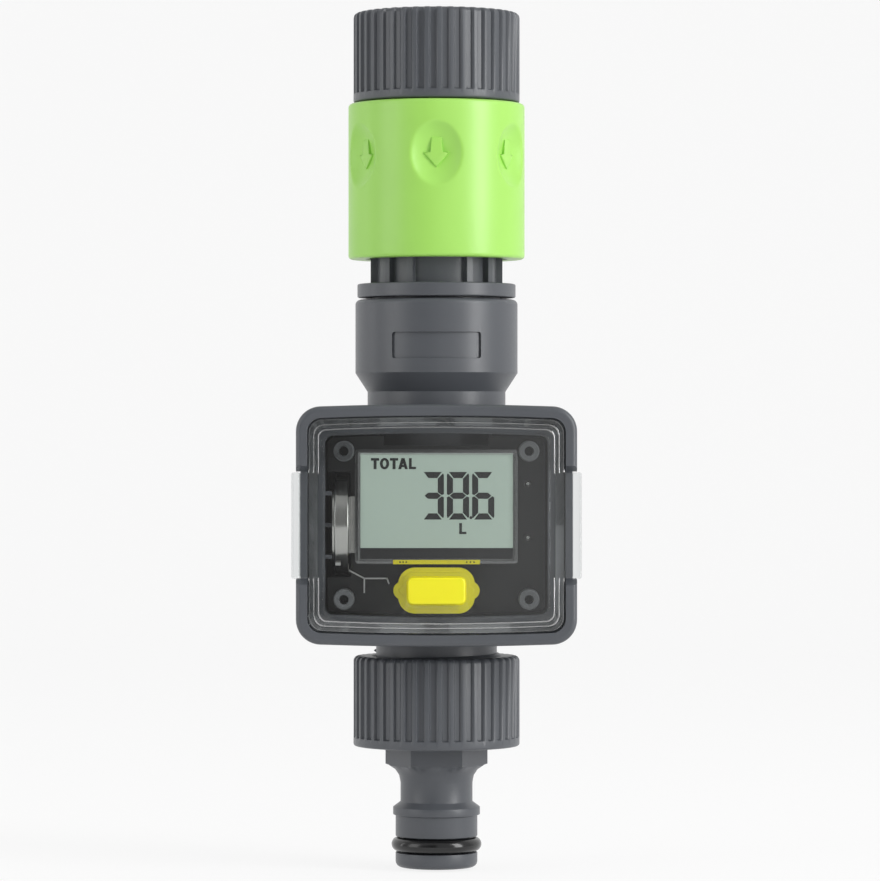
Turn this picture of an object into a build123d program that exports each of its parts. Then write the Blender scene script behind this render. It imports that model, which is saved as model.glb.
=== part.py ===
# Garden water meter: tap adapter, quick coupling, flow meter with display, outlet adapter
# Millimetres. Z runs up along the water pipe, the display faces -Y.
# The origin is on the axis, at the sealing face of the washer that meets the tap.
import os

from build123d import *

os.makedirs("parts", exist_ok=True)

# Threaded adapter, moulded twice: once for the tap and once for the outlet
nut_radius = 16.44
nut_height = 17.8
nut_floor = 3.0
nut_edge_round = 1.0
nut_foot_round = 0.5
thread_hole_radius = 12.06
thread_mouth = 0.8
flute_count = 42
flute_width = 1.25
flute_depth = 0.6
flute_band = 1.7
flute_phase = -2.4
washer_thickness = 2.5
washer_hole_radius = 6.0
washer_clearance = 0.06
washer_pocket_depth = 0.45
washer_pocket_lip = 0.1
plug_hole_radius = 4.75
hex_radius = 10.1
hex_height = 3.6
neck_radius = 7.13
neck_round = 3.6
neck_length = 3.8
collar_radius = 8.6
collar_slope = 1.1
collar_foot_slope = 0.2
collar_height = 2.75
nose_radius = 8.1
nose_length = 10.25
nose_round = 1.2
seal_radius = 1.4
seal_proud = 0.8
seal_drop = 5.7
seal_groove_clearance = 0.2

# Quick coupling
nut_gap = 0.2
sleeve_wall = 3.52
sleeve_length = 30.7
sleeve_round = 0.7
sleeve_travel = 4.0
sleeve_hollow_clearance = 1.08
sleeve_lip_clearance = 0.25
cam_flat = 1.2
dimple_count = 6
dimple_height = 12.5
dimple_depth = 2.0
dimple_drop = 10.6
plug_clearance = 0.05
plug_end_gap = 0.3
plug_mouth = 0.4
barrel_radius = 11.4
barrel_top_step = 0.5
barrel_top_gap = 1.1
sleeve_gap = 0.1
grip_clearance = 0.85
grip_height = 11.4
grip_band = 1.6
grip_slot_depth = 1.3
grip_rib_angles = (27, 51, 90, 129, 153, 207, 231, 270, 309, 333)
grip_rib_width = 1.35
grip_turn = 3.2
flange_overhang = 2.6
flange_height = 2.7
flange_drop = 4.9
flange_round = 0.3
spigot_radius = 12.5
spigot_length = 8.0
spigot_clearance = 0.05
coupling_hole_radius = 6.0
socket_seal_radius = 0.95
socket_seal_clearance = 0.02
jaw_count = 3
jaw_width = 8.8
jaw_height = 3.4
jaw_lead = 1.3
jaw_travel = 1.55
jaw_clearance = 0.1
jaw_proud = 0.05
jaw_neck_gap = 0.27
jaw_collar_gap = 0.2
spring_wire = 1.0
spring_turns = 5
spring_clearance = 0.43
spring_end_gap = 0.02

# Meter body
socket_gap = 0.4
socket_wall = 3.5
socket_length = 14.5
socket_round = 1.0
socket_foot_round = 1.5
socket_mouth = 0.6
taper_length = 3.7
inlet_neck_radius = 13.65
inlet_neck_length = 2.6
plate_width = 17.3
plate_height = 5.1
plate_depth = 0.45
plate_corner = 0.5
plate_drop = 9.2
case_bow = 0.57
case_corner = 4.85
case_front = 23.0
case_back = 15.5
bezel_depth = 9.5
bezel_round = 1.0
tub_inset = 3.2
tub_wall = 2.4
tub_corner = 3.85
tub_round = 3.4
rim_side = 2.2
rim_corner = 2.8
ledge_drop = 3.8
cavity_corner = 1.5
flow_tube_radius = 11.0
flow_hole_radius = 9.0
turbine_hole_radius = 8.6
outlet_gap = 2.8
outlet_thread_radius = 11.96
ear_half_height = 10.2
ear_clearance = 0.2
ear_proud = 0.85
ear_thickness = 1.6
ear_reach = 6.1
ear_round = 0.6
ear_tooth = 0.8
notch_depth = 2.1
notch_slope = 1.1

# Inside the display
window_proud = 0.2
window_clearance = 0.15
window_step = 0.85
window_step_in = 0.95
window_wall = 1.6
window_seat = 0.4
window_corner = 2.65
window_round = 0.3
gasket_thickness = 0.6
gasket_width = 1.6
gasket_clearance = 0.3
board_thickness = 1.6
board_front = 14.2
board_clearance = 0.35
board_corner = 1.2
tube_window_clearance = 0.8
post_radius = 2.0
post_hole_radius = 0.9
post_wall = 0.5
post_inset_x = 9.25
post_inset_z = 9.07
lcd_drop = 8.7
lcd_thickness = 2.0
lcd_front = 20.6
lcd_side_wall = 0.7
lcd_end_wall = 0.45
lcd_seat = 0.3
lcd_clearance = 0.05
lcd_frame_lip = 0.3
lcd_frame_chamfer = 0.35
lcd_glass_width = 30.2
lcd_glass_height = 21.3
connector_height = 1.7
connector_clearance = 0.15
button_gap = 0.65
button_rise = 6.35
key_width = 11.1
key_height = 5.2
key_corner = 1.1
key_proud = 0.5
key_round = 0.35
key_travel = 0.7
key_clearance = 0.15
button_seat_gap = 0.1
button_flange_width = 14.8
button_flange_height = 8.9
button_flange_corner = 3.2
button_flange_thickness = 0.6
button_ridge_step = 0.5
button_ridge_width = 0.9
button_pin_radius = 0.65
button_ear_x = 6.6
button_ear_radius = 1.75
button_stem_radius = 1.6
button_stem_gap = 0.1
switch_size = 6.0
switch_corner = 0.6
switch_body_height = 2.7
switch_plunger_radius = 1.3
switch_plunger_height = 1.0
cell_radius = 10.0
cell_thickness = 3.2
cell_step = 0.4
cell_step_in = 1.0
cell_round = 0.3
cell_gap = 1.2
cell_back = 3.6
cradle_depth = 1.3
cradle_clearance = 0.05
cradle_pitch = 6.15
cradle_rib = 0.8
contact_thickness = 0.3
contact_width = 11.0
contact_foot = 1.1
contact_track_width = 0.5
contact_track = ((-0.6, 0.1), (0.4, 0.1), (4.5, -0.6), (8.9, -0.6), (9.3, -1.6))
contact_tab = 2.2
solder_radius = 0.55
solder_height = 0.35
solder_slope = 35
reed_drop = 20.65
reed_radius = 1.0
reed_length = 7.4
reed_end_round = 0.5
reed_lead_radius = 0.25
reed_lead_end = 0.3
reed_lead_bend = 0.7
reed_lead_clearance = 0.1
reed_inset = 9.35
reed_pitch = 10.5
reed_back = 3.0
chip_size = 6.4
chip_height = 1.1
chip_edge = 0.3
chip_inset = 13.15
chip_rise = 15.4

# Turbine
guide_drop = 4.8
chamber_length = 26.0
turbine_ring_wall = 0.9
ring_clearance = 0.02
vane_count = 6
vane_thickness = 0.8
vane_root = 0.4
guide_height = 8.0
guide_hub_radius = 3.0
guide_hub_reach = 2.0
turbine_hub_radius = 4.0
turbine_tip_gap = 0.4
turbine_height = 15.0
blade_count = 4
blade_thickness = 0.9
blade_twist = 75
shaft_radius = 0.75
shaft_clearance = 0.05
shaft_seat = 4.0
end_play = 0.3
bearing_boss_radius = 1.6
bearing_boss_height = 0.8
magnet_radius = 1.25
magnet_length = 2.2
magnet_set_back = 0.15

# What the coupling's round pieces leave for each other
plug_bore_radius = nose_radius + seal_proud + plug_clearance
spring_radius = barrel_radius + spring_clearance + spring_wire / 2
sleeve_hollow_radius = spring_radius + spring_wire / 2 + sleeve_hollow_clearance
sleeve_radius = sleeve_hollow_radius + sleeve_wall
grip_radius = sleeve_hollow_radius - grip_clearance
flange_radius = grip_radius + flange_overhang
socket_hole_radius = spigot_radius + spigot_clearance
socket_radius = socket_hole_radius + socket_wall
turbine_radius = turbine_hole_radius - turbine_tip_gap

# The case is as wide and as high as the display, the button and the cell in it need
cavity_inset = tub_inset + tub_wall
lcd_width = lcd_glass_width + 2 * lcd_side_wall
lcd_height = lcd_glass_height + 2 * lcd_end_wall
cell_room = cell_gap + cell_thickness + cradle_clearance + cradle_depth
case_half_width = lcd_width / 2 + cell_room + cavity_inset
case_width = 2 * case_half_width
case_height = lcd_drop + lcd_height + button_gap + button_flange_height + button_rise
post_x = case_half_width - post_inset_x
post_z = case_height / 2 - post_inset_z
cell_x = -(lcd_width / 2 + cell_gap + cell_thickness / 2)
reed_x = case_half_width - reed_inset
ear_inner_half = case_half_width + ear_proud - ear_reach
arm_inner_half = case_half_width + ear_proud - ear_thickness

# Heights along the pipe that several pieces share
nut_top = nut_height - nut_floor - washer_thickness
nut_foot = -washer_thickness - nut_floor
hex_foot = nut_foot - hex_height
neck_top = hex_foot - neck_round
collar_top = neck_top - neck_length
collar_foot = collar_top - collar_height
nose_end = collar_foot - nose_length
seal_z = collar_foot - seal_drop
sleeve_top = nut_foot - nut_gap
sleeve_foot = sleeve_top - sleeve_length
jaw_foot = collar_top + jaw_collar_gap
jaw_top = jaw_foot + jaw_height
flange_top = sleeve_foot - flange_drop
flange_foot = flange_top - flange_height
grip_top = flange_top + grip_height
socket_top = flange_foot - socket_gap
socket_foot = socket_top - socket_length
spigot_foot = flange_foot - spigot_length
taper_foot = socket_foot - taper_length
case_top = taper_foot - inlet_neck_length
case_z = case_top - case_height / 2
case_foot = case_top - case_height
outlet_drop = nut_top + outlet_gap - case_foot
outlet_end = -outlet_drop
lcd_z = case_top - lcd_drop - lcd_height / 2
key_z = case_foot + button_rise + button_flange_height / 2
reed_z = case_top - reed_drop
magnet_z = reed_z


def outline(inset, corner):
    # Rounded case outline, bowed at top and foot, drawn on a plane that faces -Y
    half_width = case_half_width - inset
    half_height = case_height / 2 - inset
    with BuildSketch() as shape:
        with BuildLine():
            Line((half_width, -half_height + case_bow), (half_width, half_height - case_bow))
            ThreePointArc(
                (half_width, half_height - case_bow),
                (0, half_height),
                (-half_width, half_height - case_bow),
            )
            Line((-half_width, half_height - case_bow), (-half_width, -half_height + case_bow))
            ThreePointArc(
                (-half_width, -half_height + case_bow),
                (0, -half_height),
                (half_width, -half_height + case_bow),
            )
        make_face()
        fillet(shape.vertices(), corner)
    return shape.sketch


# Planes that face -Y, with their centre at the middle of the case or on one of its features
def front_plane(depth, height=case_z):
    return Plane(origin=(0, -depth, height), x_dir=(1, 0, 0), z_dir=(0, -1, 0))


# Inlet adapter: ribbed nut with a hexagonal root and a plug, one moulding
with BuildPart() as inlet_adapter:
    with BuildSketch(Plane.XZ):
        with BuildLine():
            Polyline(
                (neck_radius, neck_top),
                (neck_radius, collar_top),
                (collar_radius, collar_top - collar_slope),
                (collar_radius, collar_foot + collar_foot_slope),
                (nose_radius, collar_foot),
                (nose_radius, nose_end + nose_round),
            )
            RadiusArc(
                (nose_radius, nose_end + nose_round),
                (nose_radius - nose_round, nose_end),
                nose_round,
            )
            Polyline(
                (nose_radius - nose_round, nose_end),
                (plug_hole_radius, nose_end),
                (plug_hole_radius, -washer_thickness),
                (thread_hole_radius + washer_pocket_depth, -washer_thickness),
                (thread_hole_radius + washer_pocket_depth, -washer_pocket_lip),
                (thread_hole_radius, -washer_pocket_lip),
                (thread_hole_radius, nut_top - thread_mouth),
                (thread_hole_radius + thread_mouth, nut_top),
                (nut_radius - nut_edge_round, nut_top),
            )
            RadiusArc(
                (nut_radius - nut_edge_round, nut_top),
                (nut_radius, nut_top - nut_edge_round),
                nut_edge_round,
            )
            Line((nut_radius, nut_top - nut_edge_round), (nut_radius, nut_foot + nut_foot_round))
            RadiusArc(
                (nut_radius, nut_foot + nut_foot_round),
                (nut_radius - nut_foot_round, nut_foot),
                nut_foot_round,
            )
            Polyline(
                (nut_radius - nut_foot_round, nut_foot),
                (hex_radius, nut_foot),
                (hex_radius, hex_foot),
            )
            RadiusArc((hex_radius, hex_foot), (neck_radius, neck_top), -neck_round)
        make_face()
    revolve(axis=Axis.Z)
    with BuildSketch(Plane.XY.offset(nut_foot)):
        Circle(hex_radius + flute_depth)
        RegularPolygon(hex_radius, 6, mode=Mode.SUBTRACT)
    extrude(amount=-(nut_foot - neck_top), mode=Mode.SUBTRACT)
    with BuildSketch(Plane.XZ):
        with Locations((nose_radius, seal_z)):
            Rectangle(2 * (2 * seal_radius - seal_proud), 2 * (seal_radius + seal_groove_clearance))
    revolve(axis=Axis.Z, mode=Mode.SUBTRACT)
    with BuildSketch(Plane.XY.offset(nut_top)):
        with PolarLocations(nut_radius, flute_count, start_angle=-90 + flute_phase + 180 / flute_count):
            Rectangle(2 * flute_depth, flute_width)
    extrude(amount=-(nut_height - flute_band), mode=Mode.SUBTRACT)
inlet_adapter.part.label = "inlet_adapter"

# Outlet adapter: the same moulding, screwed on the thread under the case
with BuildPart() as outlet_adapter:
    with Locations((0, 0, -outlet_drop)):
        add(inlet_adapter.part)
outlet_adapter.part.label = "outlet_adapter"

# Flat rubber washers in the bottom of each nut
with BuildPart() as inlet_washer:
    with BuildSketch(Plane.XY):
        Circle(thread_hole_radius - washer_clearance)
        Circle(washer_hole_radius, mode=Mode.SUBTRACT)
    extrude(amount=-washer_thickness)
    with BuildSketch(Plane.XY.offset(-washer_thickness)):
        Circle(thread_hole_radius + washer_pocket_depth - washer_clearance)
        Circle(washer_hole_radius, mode=Mode.SUBTRACT)
    extrude(amount=washer_thickness - washer_pocket_lip - washer_clearance)
inlet_washer.part.label = "inlet_washer"

with BuildPart() as outlet_washer:
    with Locations((0, 0, -outlet_drop)):
        add(inlet_washer.part)
outlet_washer.part.label = "outlet_washer"

# Rubber rings round the nose of each plug
with BuildPart() as inlet_plug_seal:
    with BuildSketch(Plane.XZ):
        with Locations((nose_radius + seal_proud - seal_radius, seal_z)):
            Circle(seal_radius)
    revolve(axis=Axis.Z)
inlet_plug_seal.part.label = "inlet_plug_seal"

with BuildPart() as outlet_plug_seal:
    with Locations((0, 0, -outlet_drop)):
        add(inlet_plug_seal.part)
outlet_plug_seal.part.label = "outlet_plug_seal"

# Coupling body: barrel that takes the plug, ribbed grip, flange and spigot
barrel_top = hex_foot - barrel_top_gap
barrel_top_radius = barrel_radius - barrel_top_step
barrel_step = jaw_top - jaw_collar_gap
plug_stop = nose_end - plug_end_gap
socket_seal_z = spigot_foot + spigot_length / 2
socket_seal_centre = socket_hole_radius - socket_seal_clearance - socket_seal_radius
with BuildPart() as coupling_body:
    with BuildSketch(Plane.XZ):
        with BuildLine():
            Polyline(
                (plug_bore_radius + plug_mouth, barrel_top),
                (barrel_top_radius, barrel_top),
                (barrel_top_radius, barrel_step),
                (barrel_radius, barrel_step),
                (barrel_radius, grip_top),
                (grip_radius, grip_top),
                (grip_radius, flange_top),
                (flange_radius, flange_top),
                (flange_radius, flange_foot),
                (spigot_radius, flange_foot),
                (spigot_radius, spigot_foot),
                (coupling_hole_radius, spigot_foot),
                (coupling_hole_radius, plug_stop),
                (plug_bore_radius, plug_stop),
                (plug_bore_radius, barrel_top - plug_mouth),
                close=True,
            )
        make_face()
        with Locations((spigot_radius, socket_seal_z)):
            Rectangle(
                2 * (spigot_radius - socket_seal_centre + socket_seal_radius),
                2 * (socket_seal_radius + seal_groove_clearance),
                mode=Mode.SUBTRACT,
            )
    revolve(axis=Axis.Z)
    with BuildSketch(Plane.XY.offset(jaw_foot - jaw_clearance)):
        with PolarLocations(barrel_radius, jaw_count, start_angle=90):
            Rectangle(2 * (barrel_radius - neck_radius), jaw_width + 2 * jaw_clearance)
    extrude(amount=jaw_height + 2 * jaw_clearance, mode=Mode.SUBTRACT)
    with BuildSketch(Plane.XY.offset(flange_top)):
        Circle(grip_radius + grip_slot_depth)
        Circle(grip_radius - grip_slot_depth, mode=Mode.SUBTRACT)
        for angle in grip_rib_angles:
            with PolarLocations(grip_radius, 1, start_angle=-90 + grip_turn + angle):
                Rectangle(4 * grip_slot_depth, grip_rib_width, mode=Mode.SUBTRACT)
    extrude(amount=grip_height - grip_band, mode=Mode.SUBTRACT)
    fillet(coupling_body.edges().filter_by(GeomType.CIRCLE).filter_by(
        lambda edge: abs(edge.radius - flange_radius) < 0.01), flange_round)
coupling_body.part.label = "coupling_body"

# Rubber ring round the spigot, in the meter's socket
with BuildPart() as coupling_seal:
    with BuildSketch(Plane.XZ):
        with Locations((socket_seal_centre, socket_seal_z)):
            Circle(socket_seal_radius)
    revolve(axis=Axis.Z)
coupling_seal.part.label = "coupling_seal"

# Locking jaws, which hold the plug behind its collar and are wedged in by the sleeve
cam_slope = jaw_travel / sleeve_travel
jaw_back_radius = barrel_radius + jaw_proud
jaw_front_radius = neck_radius + jaw_neck_gap
for index in range(jaw_count):
    with BuildPart() as jaw:
        with BuildSketch(Plane.XZ):
            with BuildLine():
                Polyline(
                    (jaw_front_radius, jaw_foot),
                    (jaw_back_radius, jaw_foot),
                    (jaw_back_radius + jaw_height * cam_slope, jaw_top),
                    (jaw_front_radius + jaw_lead, jaw_top),
                    (jaw_front_radius, jaw_top - jaw_lead),
                    close=True,
                )
            make_face()
        revolve(axis=Axis.Z)
        with BuildSketch(Plane.XY.offset(jaw_foot)):
            with PolarLocations(barrel_radius, 1, start_angle=90 + index * 360 / jaw_count):
                Rectangle(2 * (barrel_radius - jaw_lead), jaw_width)
        extrude(amount=jaw_height, mode=Mode.INTERSECT)
    jaw.part.label = f"locking_jaw_{index + 1}"
    export_step(jaw.part, f"parts/{jaw.part.label}.step")

# Release sleeve: pulled down, its inner cone lets the jaws move outwards
cam_radius = jaw_back_radius + sleeve_gap
cone_height = jaw_height + sleeve_travel
cone_top_radius = cam_radius + cone_height * cam_slope
lip_radius = barrel_top_radius + sleeve_lip_clearance
dimple_half = dimple_height / 2
dimple_radius = (dimple_half ** 2 + dimple_depth ** 2) / (2 * dimple_depth)
with BuildPart() as release_sleeve:
    with BuildSketch(Plane.XZ):
        with BuildLine():
            Polyline(
                (lip_radius, sleeve_top),
                (sleeve_radius, sleeve_top),
                (sleeve_radius, sleeve_foot),
                (sleeve_hollow_radius, sleeve_foot),
                (sleeve_hollow_radius, jaw_foot - cam_flat),
                (cam_radius, jaw_foot - cam_flat),
                (cam_radius, jaw_foot),
                (cone_top_radius, jaw_foot + cone_height),
                (lip_radius, jaw_foot + cone_height),
                close=True,
            )
        make_face()
    revolve(axis=Axis.Z)
    with PolarLocations(sleeve_radius + dimple_radius - dimple_depth, dimple_count, start_angle=-90):
        with Locations((0, 0, sleeve_top - dimple_drop)):
            Sphere(dimple_radius, mode=Mode.SUBTRACT)
    fillet(release_sleeve.edges().filter_by(GeomType.CIRCLE).filter_by(
        lambda edge: abs(edge.radius - sleeve_radius) < 0.01), sleeve_round)
release_sleeve.part.label = "release_sleeve"

# Compression spring between the sleeve's cam ring and the shoulder of the grip
spring_foot = grip_top + spring_wire / 2 + spring_end_gap
spring_height = jaw_foot - cam_flat - spring_end_gap - spring_wire / 2 - spring_foot
with BuildPart() as sleeve_spring:
    with BuildLine() as spring_path:
        Helix(spring_height / spring_turns, spring_height, spring_radius, center=(0, 0, spring_foot))
    with BuildSketch(Plane(origin=spring_path.line @ 0, z_dir=spring_path.line % 0)):
        RegularPolygon(spring_wire / 2, 6)
    sweep(path=spring_path.line)
sleeve_spring.part.label = "sleeve_spring"

# Meter body: inlet socket, case with bezel and tub, flow tube and outlet thread, one moulding
tub_front = case_front - bezel_depth
ledge = case_front - ledge_drop
wall_middle = tub_inset + tub_wall / 2
guide_seat = case_top - guide_drop
carrier_seat = guide_seat - chamber_length
notch_half = ear_half_height + ear_clearance
cell_y = -board_front + cell_back
with BuildPart() as plate_cut:
    with BuildSketch(Plane.XZ.offset(socket_radius - socket_wall)):
        with Locations((0, socket_top - plate_drop)):
            RectangleRounded(plate_width, plate_height, plate_corner)
    extrude(amount=2 * socket_wall)
    with Locations((0, 0, socket_top - plate_drop)):
        Cylinder(socket_radius - plate_depth, 2 * plate_height, mode=Mode.SUBTRACT)

with BuildPart() as meter_body:
    with BuildSketch(front_plane(tub_front)):
        add(outline(0, case_corner))
    extrude(amount=bezel_depth)
    fillet(meter_body.faces().sort_by(Axis.Y)[0].edges(), bezel_round)
    with BuildSketch(front_plane(-case_back)):
        add(outline(tub_inset, tub_corner))
    extrude(amount=tub_front + case_back)
    fillet(meter_body.faces().sort_by(Axis.Y)[-1].edges(), tub_round)
    with BuildSketch(front_plane(case_front)):
        add(outline(rim_side, rim_corner))
    extrude(amount=-ledge_drop, mode=Mode.SUBTRACT)
    with BuildSketch(front_plane(ledge)):
        add(outline(cavity_inset, cavity_corner))
    extrude(amount=-(ledge + case_back - tub_wall), mode=Mode.SUBTRACT)
    with BuildSketch(Plane.XY.offset(case_top - wall_middle)):
        Circle(flow_tube_radius)
        with Locations((0, case_back / 2)):
            Rectangle(flow_tube_radius, case_back - tub_wall)
    extrude(amount=-(case_height - 2 * wall_middle))
    with BuildSketch(Plane.XZ):
        with BuildLine():
            Polyline(
                (0, socket_top),
                (socket_radius, socket_top),
                (socket_radius, socket_foot),
                (inlet_neck_radius, taper_foot),
                (inlet_neck_radius, case_top - wall_middle),
                (0, case_top - wall_middle),
                close=True,
            )
        inlet_profile = make_face()
        socket_corners = inlet_profile.vertices().filter_by(lambda v: abs(v.X - socket_radius) < 0.01)
        fillet(socket_corners.sort_by(Axis.Y)[-1], socket_round)
        fillet(socket_corners.sort_by(Axis.Y)[0], socket_foot_round)
    revolve(axis=Axis.Z)
    with BuildSketch(Plane.XY.offset(case_foot + wall_middle)):
        Circle(outlet_thread_radius)
    extrude(amount=-(case_foot + wall_middle - outlet_end))
    with BuildSketch(Plane.XZ):
        with BuildLine():
            Polyline(
                (0, socket_top),
                (socket_hole_radius + socket_mouth, socket_top),
                (socket_hole_radius, socket_top - socket_mouth),
                (socket_hole_radius, spigot_foot),
                (flow_hole_radius, spigot_foot),
                (flow_hole_radius, guide_seat),
                (turbine_hole_radius, guide_seat),
                (turbine_hole_radius, carrier_seat),
                (flow_hole_radius, carrier_seat),
                (flow_hole_radius, outlet_end),
                (0, outlet_end),
                close=True,
            )
        make_face()
    revolve(axis=Axis.Z, mode=Mode.SUBTRACT)
    add(plate_cut.part, mode=Mode.SUBTRACT)
    for side in (-1, 1):
        with BuildSketch(
            Plane(origin=(side * ear_inner_half, 0, case_z), x_dir=(0, -1, 0), z_dir=(side, 0, 0))
        ):
            with BuildLine():
                Polyline(
                    (case_front - notch_depth, -notch_half),
                    (case_front - notch_depth, notch_half),
                    (case_front, notch_half + notch_slope),
                    (case_front, -notch_half - notch_slope),
                    close=True,
                )
            make_face()
        extrude(amount=case_half_width, mode=Mode.SUBTRACT)
        with Locations((side * (arm_inner_half - ear_clearance / 2), -case_front, case_z)):
            Box(
                case_width, 2 * bezel_depth, 2 * notch_half,
                align=(Align.MIN if side > 0 else Align.MAX, Align.CENTER, Align.CENTER),
                mode=Mode.SUBTRACT,
            )
    with BuildSketch(front_plane(-case_back + tub_wall / 2)):
        with GridLocations(2 * post_x, 2 * post_z, 2, 2):
            Circle(post_radius + post_wall)
    extrude(amount=case_back - tub_wall / 2 + board_front - board_thickness)
    for height in (-cradle_pitch, 0, cradle_pitch):
        with Locations((cell_x - cell_thickness / 2 - cradle_clearance, cell_y, case_z + height)):
            Box(
                cradle_depth + tub_wall / 2, 1.6 * cell_radius, cradle_rib,
                align=(Align.MAX, Align.CENTER, Align.CENTER),
            )
meter_body.part.label = "meter_body"

# Silicone gasket on the ledge under the window
with BuildPart() as window_gasket:
    with BuildSketch(front_plane(ledge)):
        add(outline(rim_side + gasket_clearance, window_corner))
        add(outline(rim_side + gasket_clearance + gasket_width, cavity_corner), mode=Mode.SUBTRACT)
    extrude(amount=gasket_thickness)
window_gasket.part.label = "window_gasket"

# Display window: clear cover with stepped edge, snap ears over the bezel, and posts on the board
window_back = ledge + gasket_thickness
window_front = case_front + window_proud
window_edge = rim_side + window_clearance
window_roof = window_front - window_wall
with BuildPart() as display_window:
    with BuildSketch(front_plane(window_back)):
        add(outline(window_edge, window_corner))
    extrude(amount=window_front - 2 * window_step - window_back)
    with BuildSketch(front_plane(window_front - 2 * window_step)):
        add(outline(window_edge + window_step_in, window_corner - window_step_in / 2))
    extrude(amount=window_step)
    with BuildSketch(front_plane(window_front - window_step)):
        add(outline(window_edge + 2 * window_step_in, window_corner - window_step_in))
    extrude(amount=window_step)
    fillet(display_window.faces().sort_by(Axis.Y)[0].edges(), window_round)
    for side in (-1, 1):
        with Locations((side * ear_inner_half, -window_front, case_z)):
            Box(
                case_half_width + ear_proud - ear_inner_half,
                window_front - (case_front - notch_depth) - ear_clearance / 2,
                2 * ear_half_height,
                align=(Align.MIN if side > 0 else Align.MAX, Align.MIN, Align.CENTER),
            )
        with Locations((side * arm_inner_half, -window_front, case_z)):
            Box(
                ear_thickness,
                window_front - tub_front + ear_clearance + ear_tooth,
                2 * ear_half_height,
                align=(Align.MIN if side > 0 else Align.MAX, Align.MIN, Align.CENTER),
            )
        with BuildSketch(Plane(origin=(0, 0, case_z - ear_half_height))):
            with BuildLine():
                Polyline(
                    (side * arm_inner_half, -tub_front + ear_clearance),
                    (side * (arm_inner_half - ear_tooth), -tub_front + ear_clearance),
                    (side * arm_inner_half, -tub_front + ear_clearance + ear_tooth),
                    close=True,
                )
            make_face()
        extrude(amount=2 * ear_half_height)
    fillet(
        display_window.edges().filter_by(Axis.Z).filter_by(
            lambda edge: abs(abs(edge.center().X) - case_half_width - ear_proud) < 0.01
            and edge.center().Y < -case_front),
        ear_round)
    with BuildSketch(front_plane(window_back)):
        add(outline(cavity_inset - window_seat, cavity_corner))
    extrude(amount=window_roof - window_back, mode=Mode.SUBTRACT)
    with BuildSketch(front_plane(board_front)):
        with GridLocations(2 * post_x, 2 * post_z, 2, 2):
            Circle(post_radius)
            Circle(post_hole_radius, mode=Mode.SUBTRACT)
    extrude(amount=window_roof - board_front)
    with BuildSketch(front_plane(window_roof - button_seat_gap, key_z)):
        RectangleRounded(
            key_width + 2 * key_clearance, key_height + 2 * key_clearance, key_corner + key_clearance)
    extrude(amount=2 * window_wall, mode=Mode.SUBTRACT)
display_window.part.label = "display_window"

# Circuit board, clamped between the window's posts and the bosses of the tub
board_back = board_front - board_thickness
with BuildPart() as circuit_board:
    with BuildSketch(front_plane(board_back)):
        add(outline(cavity_inset + board_clearance, board_corner))
        with Locations((-(case_half_width - cavity_inset), 0)):
            Rectangle(
                2 * (case_half_width - cavity_inset + cell_x + cell_thickness / 2 + board_clearance),
                2 * (cell_radius + lcd_clearance) + board_clearance,
                mode=Mode.SUBTRACT,
            )
        with Locations((reed_x, reed_z - case_z)):
            with GridLocations(0, reed_pitch, 1, 2):
                Circle(reed_lead_radius + reed_lead_clearance, mode=Mode.SUBTRACT)
        with Locations((0, case_height / 2 - lcd_drop + 2 * board_clearance)):
            Rectangle(
                2 * (flow_tube_radius - tube_window_clearance), lcd_drop,
                align=(Align.CENTER, Align.MIN),
                mode=Mode.SUBTRACT,
            )
    extrude(amount=board_thickness)
circuit_board.part.label = "circuit_board"

# Liquid crystal panel, its clear frame, and the rubber connector strip behind its lower edge
with BuildPart() as lcd_frame:
    with BuildSketch(front_plane(board_front, lcd_z)):
        Rectangle(lcd_width, lcd_height)
        Rectangle(lcd_glass_width - 2 * lcd_seat, lcd_glass_height - 2 * lcd_seat, mode=Mode.SUBTRACT)
    extrude(amount=lcd_front + lcd_frame_lip - board_front)
    with BuildSketch(front_plane(lcd_front - lcd_thickness, lcd_z)):
        Rectangle(lcd_glass_width + 2 * lcd_clearance, lcd_glass_height + 2 * lcd_clearance)
    extrude(amount=lcd_thickness, mode=Mode.SUBTRACT)
    chamfer(lcd_frame.faces().sort_by(Axis.Y)[0].outer_wire().edges(), lcd_frame_chamfer)
lcd_frame.part.label = "lcd_frame"

with BuildPart() as lcd_panel:
    with BuildSketch(front_plane(lcd_front - lcd_thickness, lcd_z)):
        Rectangle(lcd_glass_width, lcd_glass_height)
    extrude(amount=lcd_thickness)
lcd_panel.part.label = "lcd_panel"

connector_z = lcd_z - lcd_glass_height / 2 + lcd_seat + connector_clearance + connector_height / 2
with BuildPart() as lcd_connector:
    with BuildSketch(front_plane(board_front, connector_z)):
        Rectangle(lcd_glass_width - 2 * (lcd_seat + connector_clearance), connector_height)
    extrude(amount=lcd_front - lcd_thickness - board_front)
lcd_connector.part.label = "lcd_connector"

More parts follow.
